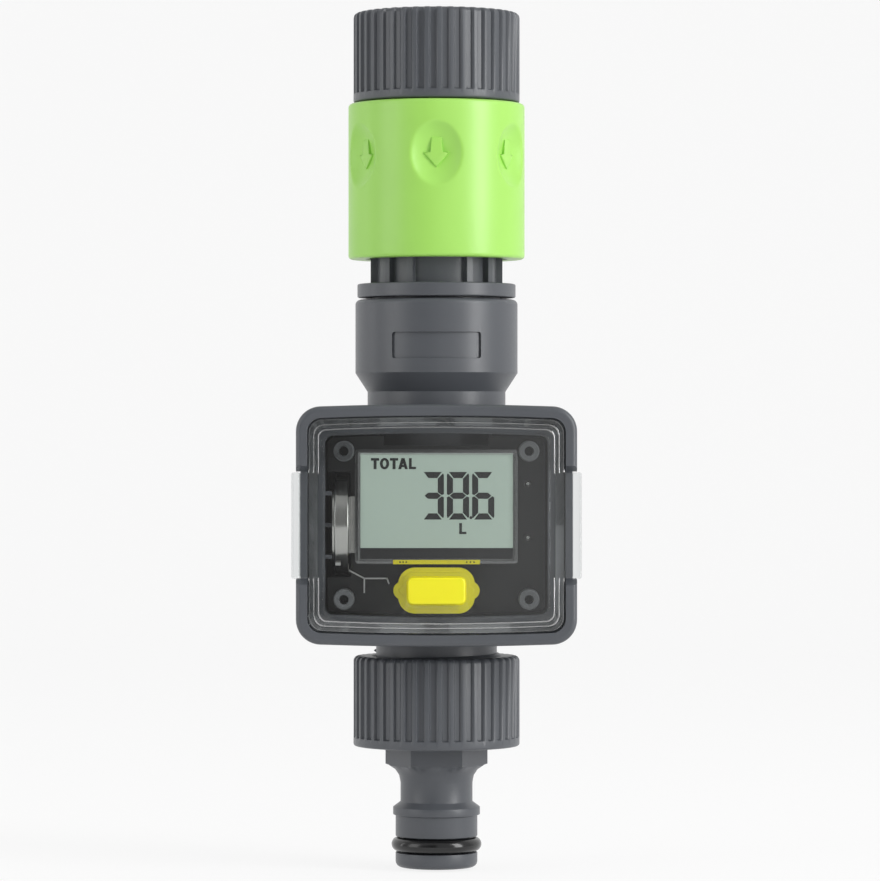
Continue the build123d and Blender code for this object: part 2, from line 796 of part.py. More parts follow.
# Reset button: silicone key, ridge, flange with two ears, and a stem that presses the switch
button_front = window_front + key_proud
button_ridge_front = window_roof - button_seat_gap
button_flange_front = button_ridge_front - button_ridge_step
button_flange_back = button_flange_front - button_flange_thickness
switch_front = board_front + switch_body_height + switch_plunger_height
stem_end = switch_front + key_travel + button_stem_gap
with BuildPart() as reset_button:
    with BuildSketch(front_plane(button_flange_back, key_z)):
        RectangleRounded(button_flange_width, button_flange_height, button_flange_corner)
        with Locations((-button_ear_x, 0), (button_ear_x, 0)):
            Circle(button_ear_radius)
    extrude(amount=button_flange_thickness)
    with BuildSketch(front_plane(button_flange_front, key_z)):
        RectangleRounded(
            key_width + 2 * button_ridge_width, key_height + 2 * button_ridge_width,
            key_corner + button_ridge_width)
        with Locations((-button_ear_x, 0), (button_ear_x, 0)):
            Circle(button_pin_radius)
    extrude(amount=button_ridge_step)
    with BuildSketch(front_plane(button_ridge_front, key_z)):
        RectangleRounded(key_width, key_height, key_corner)
    extrude(amount=button_front - button_ridge_front)
    fillet(reset_button.faces().sort_by(Axis.Y)[0].edges(), key_round)
    with BuildSketch(front_plane(stem_end, key_z)):
        Circle(button_stem_radius)
    extrude(amount=button_flange_back - stem_end)
reset_button.part.label = "reset_button"

with BuildPart() as push_switch:
    with BuildSketch(front_plane(board_front, key_z)):
        Rectangle(switch_size, switch_size)
    extrude(amount=switch_body_height)
    chamfer(push_switch.edges().filter_by(Axis.Y), switch_corner)
    with BuildSketch(front_plane(board_front + switch_body_height, key_z)):
        Circle(switch_plunger_radius)
    extrude(amount=switch_plunger_height)
push_switch.part.label = "push_switch"

with BuildPart() as controller_chip:
    with BuildSketch(front_plane(board_back, case_foot + chip_rise)):
        with Locations((case_half_width - chip_inset, 0)):
            Rectangle(chip_size, chip_size)
    extrude(amount=-chip_height)
    chamfer(controller_chip.faces().sort_by(Axis.Y)[-1].edges(), chip_edge)
controller_chip.part.label = "controller_chip"

# Coin cell on edge beside the flow tube, with its two contacts
cell_left = cell_x - cell_thickness / 2
cell_right = cell_x + cell_thickness / 2
with BuildPart() as coin_cell:
    with BuildSketch(Plane(origin=(cell_left, cell_y, case_z), z_dir=(1, 0, 0))):
        Circle(cell_radius - cell_step_in)
    extrude(amount=cell_step)
    with BuildSketch(Plane(origin=(cell_left + cell_step, cell_y, case_z), z_dir=(1, 0, 0))):
        Circle(cell_radius)
    extrude(amount=cell_thickness - cell_step)
    fillet(coin_cell.edges().filter_by(GeomType.CIRCLE).filter_by(
        lambda edge: abs(edge.radius - cell_radius) < 0.01), cell_round)
coin_cell.part.label = "coin_cell"

with BuildPart() as positive_contact:
    with Locations((cell_right, cell_y - 0.8 * cell_radius, case_z)):
        Box(
            contact_thickness, 0.8 * cell_radius, contact_width,
            align=(Align.MIN, Align.MIN, Align.CENTER),
        )
    with Locations((cell_right, -board_front, case_z)):
        Box(contact_foot, contact_thickness, contact_width, align=(Align.MIN, Align.MAX, Align.CENTER))
positive_contact.part.label = "positive_contact"

with BuildPart() as negative_contact:
    with BuildSketch(front_plane(board_front)):
        with BuildLine():
            Polyline(*[(cell_x + along, -cell_radius + up) for along, up in contact_track])
        trace(line_width=contact_track_width)
    extrude(amount=contact_thickness)
    with Locations((cell_x, -board_front, case_z - cell_radius + contact_track[0][1])):
        Box(
            0.6 * cell_thickness, contact_tab, contact_thickness,
            align=(Align.CENTER, Align.MAX, Align.CENTER),
        )
negative_contact.part.label = "negative_contact"

# Reed switch behind the board, with its leads through two holes to solder joints in front
reed_y = -board_back + reed_back
reed_half = reed_pitch / 2
with BuildPart() as reed_switch:
    with BuildLine() as reed_path:
        FilletPolyline(
            (reed_x, -board_front - reed_lead_end, reed_z + reed_half),
            (reed_x, reed_y, reed_z + reed_half),
            (reed_x, reed_y, reed_z - reed_half),
            (reed_x, -board_front - reed_lead_end, reed_z - reed_half),
            radius=reed_lead_bend,
        )
    with BuildSketch(Plane(origin=reed_path.line @ 0, z_dir=reed_path.line % 0)):
        Circle(reed_lead_radius)
    sweep(path=reed_path.line)
    with BuildSketch(Plane(origin=(reed_x, reed_y, reed_z - reed_length / 2))):
        Circle(reed_radius)
    extrude(amount=reed_length)
    fillet(reed_switch.edges().filter_by(GeomType.CIRCLE).filter_by(
        lambda edge: abs(edge.radius - reed_radius) < 0.01), reed_end_round)
    for end in (-1, 1):
        with BuildSketch(front_plane(board_front, reed_z + end * reed_half)):
            with Locations((reed_x, 0)):
                Circle(solder_radius)
        extrude(amount=solder_height, taper=solder_slope)
reed_switch.part.label = "reed_switch"

# Upstream guide vanes with the first bearing
guide_hub_foot = guide_seat - guide_hub_reach
carrier_hub_top = carrier_seat + guide_hub_reach
ring_radius = flow_hole_radius - ring_clearance


def vane_ring(vanes):
    # Cross section of a ring with flat vanes that run in to the hub
    with BuildSketch() as shape:
        Circle(ring_radius)
        Circle(ring_radius - turbine_ring_wall, mode=Mode.SUBTRACT)
        with PolarLocations((guide_hub_radius + ring_radius) / 2 - vane_root, vanes, start_angle=90):
            Rectangle(ring_radius - guide_hub_radius, vane_thickness)
    return shape.sketch


def domed_hub(face, shoulder):
    # Half section of a hub with a domed end, and a blind seat for the shaft in its flat face
    way = 1 if shoulder > face else -1
    seat_end = face + way * shaft_seat
    with BuildSketch() as shape:
        with BuildLine():
            Polyline(
                (0, shoulder + way * guide_hub_radius),
                (0, seat_end),
                (shaft_radius, seat_end),
                (shaft_radius, face),
                (guide_hub_radius, face),
                (guide_hub_radius, shoulder),
            )
            RadiusArc(
                (guide_hub_radius, shoulder),
                (0, shoulder + way * guide_hub_radius),
                -way * guide_hub_radius,
            )
        make_face()
    return shape.sketch


with BuildPart() as guide_vanes:
    with BuildSketch(Plane.XY.offset(guide_seat)):
        add(vane_ring(vane_count))
    extrude(amount=guide_height)
    with BuildSketch(Plane.XZ):
        add(domed_hub(guide_hub_foot, guide_seat + guide_height))
    revolve(axis=Axis.Z)
guide_vanes.part.label = "guide_vanes"

# Downstream bearing carrier, pushed in from the outlet
with BuildPart() as bearing_carrier:
    with BuildSketch(Plane.XY.offset(carrier_seat)):
        add(vane_ring(vane_count // 2))
    extrude(amount=-guide_height)
    with BuildSketch(Plane.XZ):
        add(domed_hub(carrier_hub_top, carrier_seat - guide_height))
    revolve(axis=Axis.Z)
bearing_carrier.part.label = "bearing_carrier"

# Steel shaft, fixed in the two hubs
with BuildPart() as turbine_shaft:
    with BuildSketch(Plane.XY.offset(carrier_hub_top - shaft_seat)):
        Circle(shaft_radius)
    extrude(amount=guide_hub_foot - carrier_hub_top + 2 * shaft_seat)
turbine_shaft.part.label = "turbine_shaft"

# Turbine wheel with twisted blades, turning on the shaft
turbine_z = (guide_hub_foot + carrier_hub_top) / 2
hub_height = guide_hub_foot - carrier_hub_top - 2 * (end_play + bearing_boss_height)
blade_steps = 4
with BuildPart() as turbine_wheel:
    for blade in range(blade_count):
        for step in range(blade_steps + 1):
            share = step / blade_steps
            turn = blade * 360 / blade_count + share * blade_twist
            height = turbine_z + (share - 0.5) * turbine_height
            with BuildSketch(Plane.XY.offset(height).rotated((0, 0, turn))):
                with Locations(((turbine_radius + turbine_hub_radius) / 2 - vane_root, 0)):
                    Rectangle(turbine_radius - turbine_hub_radius + 2 * vane_root, blade_thickness)
        loft()
    with BuildSketch(Plane.XY.offset(turbine_z - hub_height / 2)):
        Circle(turbine_hub_radius)
    extrude(amount=hub_height)
    with BuildSketch(Plane.XY.offset(turbine_z - hub_height / 2 - bearing_boss_height)):
        Circle(bearing_boss_radius)
    extrude(amount=hub_height + 2 * bearing_boss_height)
    with BuildSketch(Plane.XY.offset(turbine_z - hub_height)):
        Circle(shaft_radius + shaft_clearance)
    extrude(amount=2 * hub_height, mode=Mode.SUBTRACT)
    for side in (-1, 1):
        with BuildSketch(Plane(origin=(side * (turbine_hub_radius - magnet_length), 0, magnet_z),
                               z_dir=(side, 0, 0))):
            Circle(magnet_radius)
        extrude(amount=magnet_length + magnet_set_back, mode=Mode.SUBTRACT)
turbine_wheel.part.label = "turbine_wheel"

# Two magnets pressed in the hub
with BuildPart() as turbine_magnets:
    for side in (-1, 1):
        with BuildSketch(Plane(origin=(side * (turbine_hub_radius - magnet_length), 0, magnet_z),
                               z_dir=(side, 0, 0))):
            Circle(magnet_radius)
        extrude(amount=magnet_length - magnet_set_back)
turbine_magnets.part.label = "turbine_magnets"

for piece in (
    inlet_adapter, outlet_adapter, inlet_washer, outlet_washer, inlet_plug_seal, outlet_plug_seal,
    coupling_body, coupling_seal, release_sleeve, sleeve_spring, meter_body, window_gasket,
    display_window, circuit_board, lcd_frame, lcd_panel, lcd_connector, reset_button, push_switch,
    controller_chip, coin_cell, positive_contact, negative_contact, reed_switch, guide_vanes,
    bearing_carrier, turbine_shaft, turbine_wheel, turbine_magnets,
):
    export_step(piece.part, f"parts/{piece.part.label}.step")
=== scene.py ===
# Garden water meter: looks of every piece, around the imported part
# Metres, Z up along the water pipe, the display faces -Y
import math

import bmesh
import bpy
from mathutils import Matrix, Vector


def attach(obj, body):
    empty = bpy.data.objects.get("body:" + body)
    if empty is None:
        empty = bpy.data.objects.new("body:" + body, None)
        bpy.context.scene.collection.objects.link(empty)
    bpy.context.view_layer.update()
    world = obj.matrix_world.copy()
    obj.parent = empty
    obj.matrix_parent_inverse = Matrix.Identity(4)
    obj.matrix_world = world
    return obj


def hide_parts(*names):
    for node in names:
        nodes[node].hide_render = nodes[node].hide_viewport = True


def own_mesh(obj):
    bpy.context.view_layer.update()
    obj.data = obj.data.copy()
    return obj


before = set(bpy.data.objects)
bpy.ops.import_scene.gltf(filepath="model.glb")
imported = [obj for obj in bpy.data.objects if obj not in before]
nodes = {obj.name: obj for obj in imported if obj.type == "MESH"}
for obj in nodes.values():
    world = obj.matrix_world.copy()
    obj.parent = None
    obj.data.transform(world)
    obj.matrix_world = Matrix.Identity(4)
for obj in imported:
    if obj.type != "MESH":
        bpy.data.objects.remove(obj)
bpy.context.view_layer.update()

# Threaded adapters. Each is one moulding of grey ABS: a nut with 42 grip ribs and a G 3/4 thread inside,
# a hexagonal root for a spanner, and a hose plug with a groove for its rubber ring.
# The satin surface comes from a fine spark-eroded mould.
MM = 0.001
OUTLET_DROP = 0.1271
NUT_RADIUS = 16.44
RIBS = 42
RIB_SAMPLES = 10
FLUTE_DEPTH = 0.6
FLUTE_FOOT = -3.8
FLUTE_PHASE = math.radians(-2.4)
HEX_RADIUS = 10.1
HEX_TOP = -5.5
NECK_TOP = -12.7
THREAD_PITCH = 1.814
THREAD_MINOR = 12.06
THREAD_DEPTH = 1.1
THREAD_ROWS = 80
ADAPTER_SECTION = (
    (16.44, 12.3, 1.0), (16.44, -3.55, 0), (16.44, -3.8, 0), (16.44, -5.5, 0.5), (10.95, -5.5, 0.1),
    (10.95, -9.1, 0.05), (7.13, -9.1, 3.6), (7.13, -16.5, 0.15), (8.6, -17.6, 0.15), (8.6, -19.05, 0.1),
    (8.1, -19.25, 0.1), (8.1, -23.35, 0.12), (6.1, -23.35, 0.1), (6.1, -26.55, 0.1), (8.1, -26.55, 0.12),
    (8.1, -29.5, 1.2), (4.75, -29.5, 0.3), (4.75, -2.5, 0.1), (12.51, -2.5, 0.05), (12.51, -0.1, 0.05),
)


def linear(hex_colour):
    # An sRGB hex colour as linear red, green, blue and alpha
    shares = [int(hex_colour[place:place + 2], 16) / 255 for place in (1, 3, 5)]
    return [s / 12.92 if s <= 0.04045 else ((s + 0.055) / 1.055) ** 2.4 for s in shares] + [1.0]


def add_node(tree, kind, inputs=None, **settings):
    # A shader node with its settings, and its inputs set to values or linked to sockets
    node = tree.nodes.new(kind)
    for name, value in settings.items():
        setattr(node, name, value)
    for name, value in (inputs or {}).items():
        if isinstance(value, bpy.types.NodeSocket):
            tree.links.new(value, node.inputs[name])
        else:
            node.inputs[name].default_value = value
    return node


def moulded_plastic(name, colour, shade, roughness, grain_mm=0.35, grain_depth_mm=0.004, edge_mm=0.12, **more):
    # Moulded plastic: flow clouds tint it a little, the mould's grain breaks up its gloss, edges are rounded
    material = bpy.data.materials.new(name)
    material.use_nodes = True
    tree = material.node_tree
    surface = tree.nodes["Principled BSDF"]
    place = add_node(tree, "ShaderNodeTexCoord").outputs["Object"]
    clouds = add_node(tree, "ShaderNodeTexNoise", {"Vector": place, "Scale": 90.0, "Detail": 2.0})
    grain = add_node(tree, "ShaderNodeTexNoise", {"Vector": place, "Scale": 1000 / grain_mm, "Detail": 2.0})
    tint = add_node(
        tree, "ShaderNodeMix", {0: clouds.outputs["Fac"], 6: linear(colour), 7: linear(shade)}, data_type="RGBA")
    gloss = add_node(
        tree, "ShaderNodeMapRange",
        {"Value": grain.outputs["Fac"], "From Min": 0.3, "From Max": 0.7,
         "To Min": roughness - 0.04, "To Max": roughness + 0.04})
    edge = add_node(tree, "ShaderNodeBevel", {"Radius": edge_mm * MM}, samples=4)
    bump = add_node(
        tree, "ShaderNodeBump",
        {"Height": grain.outputs["Fac"], "Strength": 0.5, "Distance": grain_depth_mm * MM,
         "Normal": edge.outputs["Normal"]})
    tree.links.new(tint.outputs[2], surface.inputs["Base Color"])
    tree.links.new(gloss.outputs["Result"], surface.inputs["Roughness"])
    tree.links.new(bump.outputs["Normal"], surface.inputs["Normal"])
    surface.inputs["IOR"].default_value = 1.54
    for socket, value in more.items():
        surface.inputs[socket.replace("_", " ")].default_value = value
    return material


def rounded_section(corners, arc_steps=4):
    # The corners of a closed half section (radius, height, round) with each round worked out as an arc
    points = []
    for index, (x, z, radius) in enumerate(corners):
        corner = Vector((x, z))
        before = Vector(corners[index - 1][:2]) - corner
        after = Vector(corners[(index + 1) % len(corners)][:2]) - corner
        turn = before.angle(after)
        if radius == 0 or turn > math.pi - 0.01:
            points.append(corner)
            continue
        reach = radius / math.tan(turn / 2)
        middle = corner + (before.normalized() + after.normalized()).normalized() * (radius / math.sin(turn / 2))
        start = corner + before.normalized() * reach - middle
        sweep = start.angle_signed(corner + after.normalized() * reach - middle)
        steps = max(2, round(arc_steps * abs(sweep) / (math.pi / 2)))
        for step in range(steps + 1):
            angle = -sweep * step / steps
            turned = Vector((start.x * math.cos(angle) - start.y * math.sin(angle),
                             start.x * math.sin(angle) + start.y * math.cos(angle)))
            points.append(middle + turned)
    return points


def turned(section, steps):
    # A closed half section in millimetres, spun about the pipe axis
    mesh = bmesh.new()
    rim = [mesh.verts.new((x * MM, 0, z * MM)) for x, z in section]
    edges = [mesh.edges.new((a, b)) for a, b in zip(rim, rim[1:] + rim[:1])]
    bmesh.ops.spin(
        mesh, geom=rim + edges, cent=(0, 0, 0), axis=(0, 0, 1), dvec=(0, 0, 0),
        angle=2 * math.pi, steps=steps, use_merge=True)
    return mesh


def finished(name, mesh, materials, sharp_deg=38):
    # The bmesh as a smooth object at the origin, with its creases kept and one material or several
    bmesh.ops.remove_doubles(mesh, verts=mesh.verts, dist=1e-7)
    bmesh.ops.recalc_face_normals(mesh, faces=mesh.faces)
    data = bpy.data.meshes.new(name)
    mesh.to_mesh(data)
    mesh.free()
    data.shade_smooth()
    data.set_sharp_from_angle(angle=math.radians(sharp_deg))
    for material in materials if isinstance(materials, tuple) else (materials,):
        data.materials.append(material)
    piece = bpy.data.objects.new(name, data)
    bpy.context.scene.collection.objects.link(piece)
    return piece


def smooth_step(low, high, value):
    share = min(1.0, max(0.0, (value - low) / (high - low)))
    return share * share * (3 - 2 * share)


def thread_form(turns):
    # Height of a rounded 55 degree thread, 0 at the root and 1 at the crest, over one turn
    share = abs((turns % 1.0) - 0.5) * 2
    return smooth_step(0.08, 0.92, share)


def adapter_mesh(drop):
    thread = [(THREAD_MINOR, -0.1 + 11.6 * row / THREAD_ROWS, 0) for row in range(1, THREAD_ROWS)]
    mouth = [(THREAD_MINOR, 11.5, 0), (THREAD_MINOR + 0.8, 12.3, 0.15)]
    mesh = turned(rounded_section(list(ADAPTER_SECTION) + thread + mouth), RIBS * RIB_SAMPLES)
    for vert in mesh.verts:
        radius = math.hypot(vert.co.x, vert.co.y) / MM
        height = vert.co.z / MM
        angle = math.atan2(vert.co.y, vert.co.x)
        wanted = radius
        if radius > 14.5 and height > HEX_TOP:
            period = ((angle - FLUTE_PHASE) * RIBS / (2 * math.pi)) % 1.0
            flute = 1 - smooth_step(0.2, 0.34, abs(period - 0.5))
            wanted = radius - FLUTE_DEPTH * flute * smooth_step(FLUTE_FOOT - 0.01, FLUTE_FOOT + 0.2, height)
        elif radius > 7 and NECK_TOP < height < HEX_TOP + 0.01 and radius < 11.5:
            side = (angle % (math.pi / 3)) - math.pi / 6
            wanted = min(radius, HEX_RADIUS * math.cos(math.pi / 6) / math.cos(side))
        elif abs(radius - THREAD_MINOR) < 0.01 and -0.05 < height < 11.45:
            turns = height / THREAD_PITCH - angle / (2 * math.pi)
            ends = smooth_step(-0.1, 0.9, height) * smooth_step(11.5, 10.9, height)
            wanted = radius + THREAD_DEPTH * ends * (1 - thread_form(turns))
        vert.co.x *= wanted / radius
        vert.co.y *= wanted / radius
    bmesh.ops.translate(mesh, verts=mesh.verts, vec=(0, 0, -drop))
    return mesh


grey_abs = moulded_plastic("moulded grey ABS", "#54575C", "#505358", roughness=0.38)
for node, body, drop in (("inlet_adapter", "tap_adapter", 0.0), ("outlet_adapter", "outlet_nut", OUTLET_DROP)):
    adapter = finished(node + "_moulding", adapter_mesh(drop), grey_abs)
    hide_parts(node)
    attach(adapter, body)

# Rubber washers, plug rings and the coupling's seal. All are black nitrile rubber, pressed in a polished
# mould, and are held in their grooves by their own tension.
def moulded_rubber(name, colour, roughness, bloomed="#1B1B1C"):
    # Rubber: an even colour with a faint bloom that pales and dulls it in patches
    material = bpy.data.materials.new(name)
    material.use_nodes = True
    tree = material.node_tree
    surface = tree.nodes["Principled BSDF"]
    place = add_node(tree, "ShaderNodeTexCoord").outputs["Object"]
    bloom = add_node(tree, "ShaderNodeTexNoise", {"Vector": place, "Scale": 260.0, "Detail": 3.0})
    tint = add_node(
        tree, "ShaderNodeMix", {0: bloom.outputs["Fac"], 6: linear(colour), 7: linear(bloomed)},
        data_type="RGBA")
    dull = add_node(
        tree, "ShaderNodeMapRange",
        {"Value": bloom.outputs["Fac"], "From Min": 0.3, "From Max": 0.7, "To Min": roughness,
         "To Max": roughness + 0.08})
    tree.links.new(tint.outputs[2], surface.inputs["Base Color"])
    tree.links.new(dull.outputs["Result"], surface.inputs["Roughness"])
    surface.inputs["IOR"].default_value = 1.52
    return material


black_rubber = moulded_rubber("nitrile rubber", "#121213", 0.16)
for node in ("inlet_washer", "outlet_washer", "inlet_plug_seal", "outlet_plug_seal", "coupling_seal"):
    nodes[node].data.materials.clear()
    nodes[node].data.materials.append(black_rubber)

# Coupling body and its three locking jaws. The body is the same grey ABS as the adapters, with a ribbed
# grip under the sleeve. The jaws are natural acetal, which slides well on ABS.
nodes["coupling_body"].data.materials.clear()
nodes["coupling_body"].data.materials.append(grey_abs)
white_acetal = moulded_plastic("natural acetal", "#E4E3DB", "#D9D8CF", roughness=0.32, Subsurface_Weight=0.05)
for node in ("locking_jaw_1", "locking_jaw_2", "locking_jaw_3", "guide_vanes", "bearing_carrier", "turbine_wheel"):
    nodes[node].data.materials.clear()
    nodes[node].data.materials.append(white_acetal)

# Release sleeve of light green ABS, more glossy than the grey. Six finger dimples are moulded in it, each
# with a raised arrow that shows which way it is pulled.
SLEEVE_RADIUS = 17.43
SLEEVE_STEPS = 360
SLEEVE_ROWS = 60
DIMPLES = 6
DIMPLE_Z = -16.3
DIMPLE_SPHERE = 10.766
DIMPLE_CENTRE = 26.196
DIMPLE_LIP = 0.22
SLEEVE_SECTION = (
    (17.43, -36.4, 0.7), (13.91, -36.4, 0.3), (13.91, -17.5, 0.2), (11.55, -17.5, 0.1), (11.55, -16.3, 0),
    (14.417, -8.9, 0.2), (11.15, -8.9, 0.2), (11.15, -5.7, 0.4), (17.43, -5.7, 0.7),
)
ARROW_FRONT = 16.02
ARROW_BACK = 15.3
ARROW_OUTLINE = (
    (-1.08, 3.1), (1.08, 3.1), (1.08, 0.12), (2.55, 0.12), (0.0, -2.72), (-2.55, 0.12), (-1.08, 0.12),
)


def front_loop(mesh, outline, y, z):
    # The vertices of an outline that faces -Y
    return [mesh.verts.new((p.x * MM, y * MM, (z + p.y) * MM)) for p in outline]


def skinned(mesh, loops, slots=None):
    # Quads between each closed loop of vertices and the next, in material slot 0 or as slots says
    for step, (first, second) in enumerate(zip(loops, loops[1:])):
        for index, vert in enumerate(first):
            quad = mesh.faces.new((first[index - 1], vert, second[index], second[index - 1]))
            quad.material_index = slots[step] if slots else 0


def capped(mesh, outer, hole):
    # A flat face with a hole, between two loops of vertices
    edges = [mesh.edges.get((loop[i - 1], loop[i])) for loop in (outer, hole) for i in range(len(loop))]
    bmesh.ops.triangle_fill(mesh, edges=edges, use_beauty=True)


rows = [
    (SLEEVE_RADIUS, DIMPLE_Z + 7.5 - 15.0 * row / SLEEVE_ROWS, 0) for row in range(SLEEVE_ROWS + 1)
]
sleeve_mesh = turned(rounded_section(list(SLEEVE_SECTION) + rows, 6), SLEEVE_STEPS)
for vert in sleeve_mesh.verts:
    radius = math.hypot(vert.co.x, vert.co.y) / MM
    if radius < SLEEVE_RADIUS - 0.02:
        continue
    sector = 2 * math.pi / DIMPLES
    angle = (math.atan2(vert.co.y, vert.co.x) + math.pi / 2 + sector / 2) % sector - sector / 2
    across = DIMPLE_CENTRE * math.sin(angle)
    inside = DIMPLE_SPHERE ** 2 - (vert.co.z / MM - DIMPLE_Z) ** 2 - across ** 2
    if inside <= 0:
        continue
    bowl = DIMPLE_CENTRE * math.cos(angle) - math.sqrt(inside)
    blend = max(DIMPLE_LIP - abs(bowl - radius), 0) / DIMPLE_LIP
    wanted = min(bowl, radius) - blend * blend * DIMPLE_LIP / 4
    vert.co.x *= wanted / radius
    vert.co.y *= wanted / radius
green_abs = moulded_plastic("moulded green ABS", "#AAE468", "#A5DF63", roughness=0.34)
sleeve = finished("release_sleeve_moulding", sleeve_mesh, green_abs)
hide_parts("release_sleeve")
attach(sleeve, "sleeve")

arrow_mesh = bmesh.new()
for dimple in range(DIMPLES):
    before = set(arrow_mesh.verts)
    shape = [Vector(point) for point in ARROW_OUTLINE]
    back, front = [front_loop(arrow_mesh, shape, -y, DIMPLE_Z) for y in (ARROW_BACK, ARROW_FRONT)]
    arrow_mesh.faces.new(back)
    arrow_mesh.faces.new(front)
    skinned(arrow_mesh, [back, front])
    crests = [e for e in arrow_mesh.edges if all(v in front for v in e.verts)]
    bmesh.ops.bevel(
        arrow_mesh, geom=crests, offset=0.14 * MM, segments=2, affect="EDGES", profile=0.5, material=-1)
    bmesh.ops.rotate(
        arrow_mesh, verts=[v for v in arrow_mesh.verts if v not in before], cent=(0, 0, 0),
        matrix=Matrix.Rotation(2 * math.pi * dimple / DIMPLES, 3, "Z"))
arrows = finished("sleeve_arrows", arrow_mesh, green_abs)
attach(arrows, "sleeve")

# Sleeve spring: drawn stainless wire of 1 mm, coiled in five turns, between the grip's shoulder and the
# sleeve's cam ring. The real spring shortens as the sleeve is pulled down; here it keeps one length.
SPRING_RADIUS = 12.33
SPRING_WIRE = 1.0
SPRING_TURNS = 5
SPRING_FOOT = -29.38
SPRING_TOP = -18.05
SPRING_STEPS = 60
steel = bpy.data.materials.new("drawn stainless wire")
steel.use_nodes = True
steel_tree = steel.node_tree
steel_place = add_node(steel_tree, "ShaderNodeTexCoord").outputs["Object"]
steel_lines = add_node(steel_tree, "ShaderNodeTexNoise", {"Vector": steel_place, "Scale": 2500.0, "Detail": 2.0})
steel_dull = add_node(
    steel_tree, "ShaderNodeMapRange", {"Value": steel_lines.outputs["Fac"], "To Min": 0.22, "To Max": 0.38})
steel_surface = steel_tree.nodes["Principled BSDF"]
steel_tree.links.new(steel_dull.outputs["Result"], steel_surface.inputs["Roughness"])
steel_surface.inputs["Base Color"].default_value = linear("#B9BABB")
steel_surface.inputs["Metallic"].default_value = 1.0
spring_mesh = bmesh.new()
ring = bmesh.ops.create_circle(spring_mesh, cap_ends=True, segments=12, radius=SPRING_WIRE / 2 * MM)["verts"]
bmesh.ops.rotate(spring_mesh, verts=ring, cent=(0, 0, 0), matrix=Matrix.Rotation(math.pi / 2, 3, "X"))
bmesh.ops.translate(spring_mesh, verts=ring, vec=(SPRING_RADIUS * MM, 0, SPRING_FOOT * MM))
bmesh.ops.spin(
    spring_mesh, geom=spring_mesh.verts[:] + spring_mesh.edges[:] + spring_mesh.faces[:], cent=(0, 0, 0),
    axis=(0, 0, 1), dvec=(0, 0, (SPRING_TOP - SPRING_FOOT) / (SPRING_TURNS * SPRING_STEPS) * MM),
    angle=2 * math.pi * SPRING_TURNS, steps=SPRING_TURNS * SPRING_STEPS)
spring = finished("sleeve_spring_coil", spring_mesh, steel, sharp_deg=60)
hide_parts("sleeve_spring")
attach(spring, "meter")
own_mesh(spring)

# Meter body: inlet socket, case and outlet spigot in one moulding of grey ABS. The spigot carries the male
# G 3/4 thread that the lower nut is screwed on, and its first turn shows above the nut.
SPIGOT_ROOT = 11.9
SPIGOT_CREST = 13.1
SPIGOT_TOP = -113.1
SPIGOT_END = -126.6
SPIGOT_STEPS = 180
nodes["meter_body"].data.materials.clear()
nodes["meter_body"].data.materials.append(grey_abs)
ridge = bmesh.new()
ridge_section = (
    (SPIGOT_ROOT - 0.3, 0.72), (SPIGOT_ROOT, 0.72), (SPIGOT_CREST - 0.1, 0.12), (SPIGOT_CREST, 0.0),
    (SPIGOT_CREST - 0.1, -0.12), (SPIGOT_ROOT, -0.72), (SPIGOT_ROOT - 0.3, -0.72),
)
tooth = ridge.faces.new([ridge.verts.new((x * MM, 0, (SPIGOT_END + 0.9 + z) * MM)) for x, z in ridge_section])
spigot_turns = (SPIGOT_TOP - 0.9 - SPIGOT_END - 0.9) / THREAD_PITCH
ridge_steps = round(spigot_turns * SPIGOT_STEPS)
bmesh.ops.spin(
    ridge, geom=ridge.verts[:] + ridge.edges[:] + [tooth], cent=(0, 0, 0), axis=(0, 0, 1),
    dvec=(0, 0, THREAD_PITCH / SPIGOT_STEPS * MM), angle=2 * math.pi * ridge_steps / SPIGOT_STEPS,
    steps=ridge_steps)
outlet_thread = finished("outlet_thread", ridge, grey_abs, sharp_deg=50)
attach(outlet_thread, "meter")

# Turbine and its fixed vanes, on a ground steel shaft. The magnets in the hub are nickel-plated.
plated = bpy.data.materials.new("nickel-plated steel")
plated.use_nodes = True
plated_tree = plated.node_tree
plated_place = add_node(plated_tree, "ShaderNodeTexCoord").outputs["Object"]
plated_smear = add_node(plated_tree, "ShaderNodeTexNoise", {"Vector": plated_place, "Scale": 400.0, "Detail": 3.0})
plated_dull = add_node(
    plated_tree, "ShaderNodeMapRange", {"Value": plated_smear.outputs["Fac"], "To Min": 0.12, "To Max": 0.26})
plated_surface = plated_tree.nodes["Principled BSDF"]
plated_tree.links.new(plated_dull.outputs["Result"], plated_surface.inputs["Roughness"])
plated_surface.inputs["Base Color"].default_value = linear("#C9C8C4")
plated_surface.inputs["Metallic"].default_value = 1.0
for node in ("turbine_shaft", "turbine_magnets", "coin_cell", "positive_contact"):
    nodes[node].data.materials.clear()
    nodes[node].data.materials.append(plated)

# Circuit board with its switch and controller. The laminate has a black solder resist, and the copper
# under it shows as faint raised tracks.
board = bpy.data.materials.new("black solder resist")
board.use_nodes = True
board_tree = board.node_tree
board_place = add_node(board_tree, "ShaderNodeTexCoord").outputs["Object"]
board_weave = add_node(board_tree, "ShaderNodeTexNoise", {"Vector": board_place, "Scale": 900.0, "Detail": 1.0})
board_surface = board_tree.nodes["Principled BSDF"]
board_bump = add_node(
    board_tree, "ShaderNodeBump", {"Height": board_weave.outputs["Fac"], "Strength": 0.2, "Distance": 0.004 * MM})
board_tree.links.new(board_bump.outputs["Normal"], board_surface.inputs["Normal"])
board_surface.inputs["Base Color"].default_value = linear("#232323")
board_surface.inputs["Roughness"].default_value = 0.42
nodes["circuit_board"].data.materials.clear()
nodes["circuit_board"].data.materials.append(board)
black_plastic = moulded_plastic("black moulding compound", "#1C1C1D", "#181819", roughness=0.45)
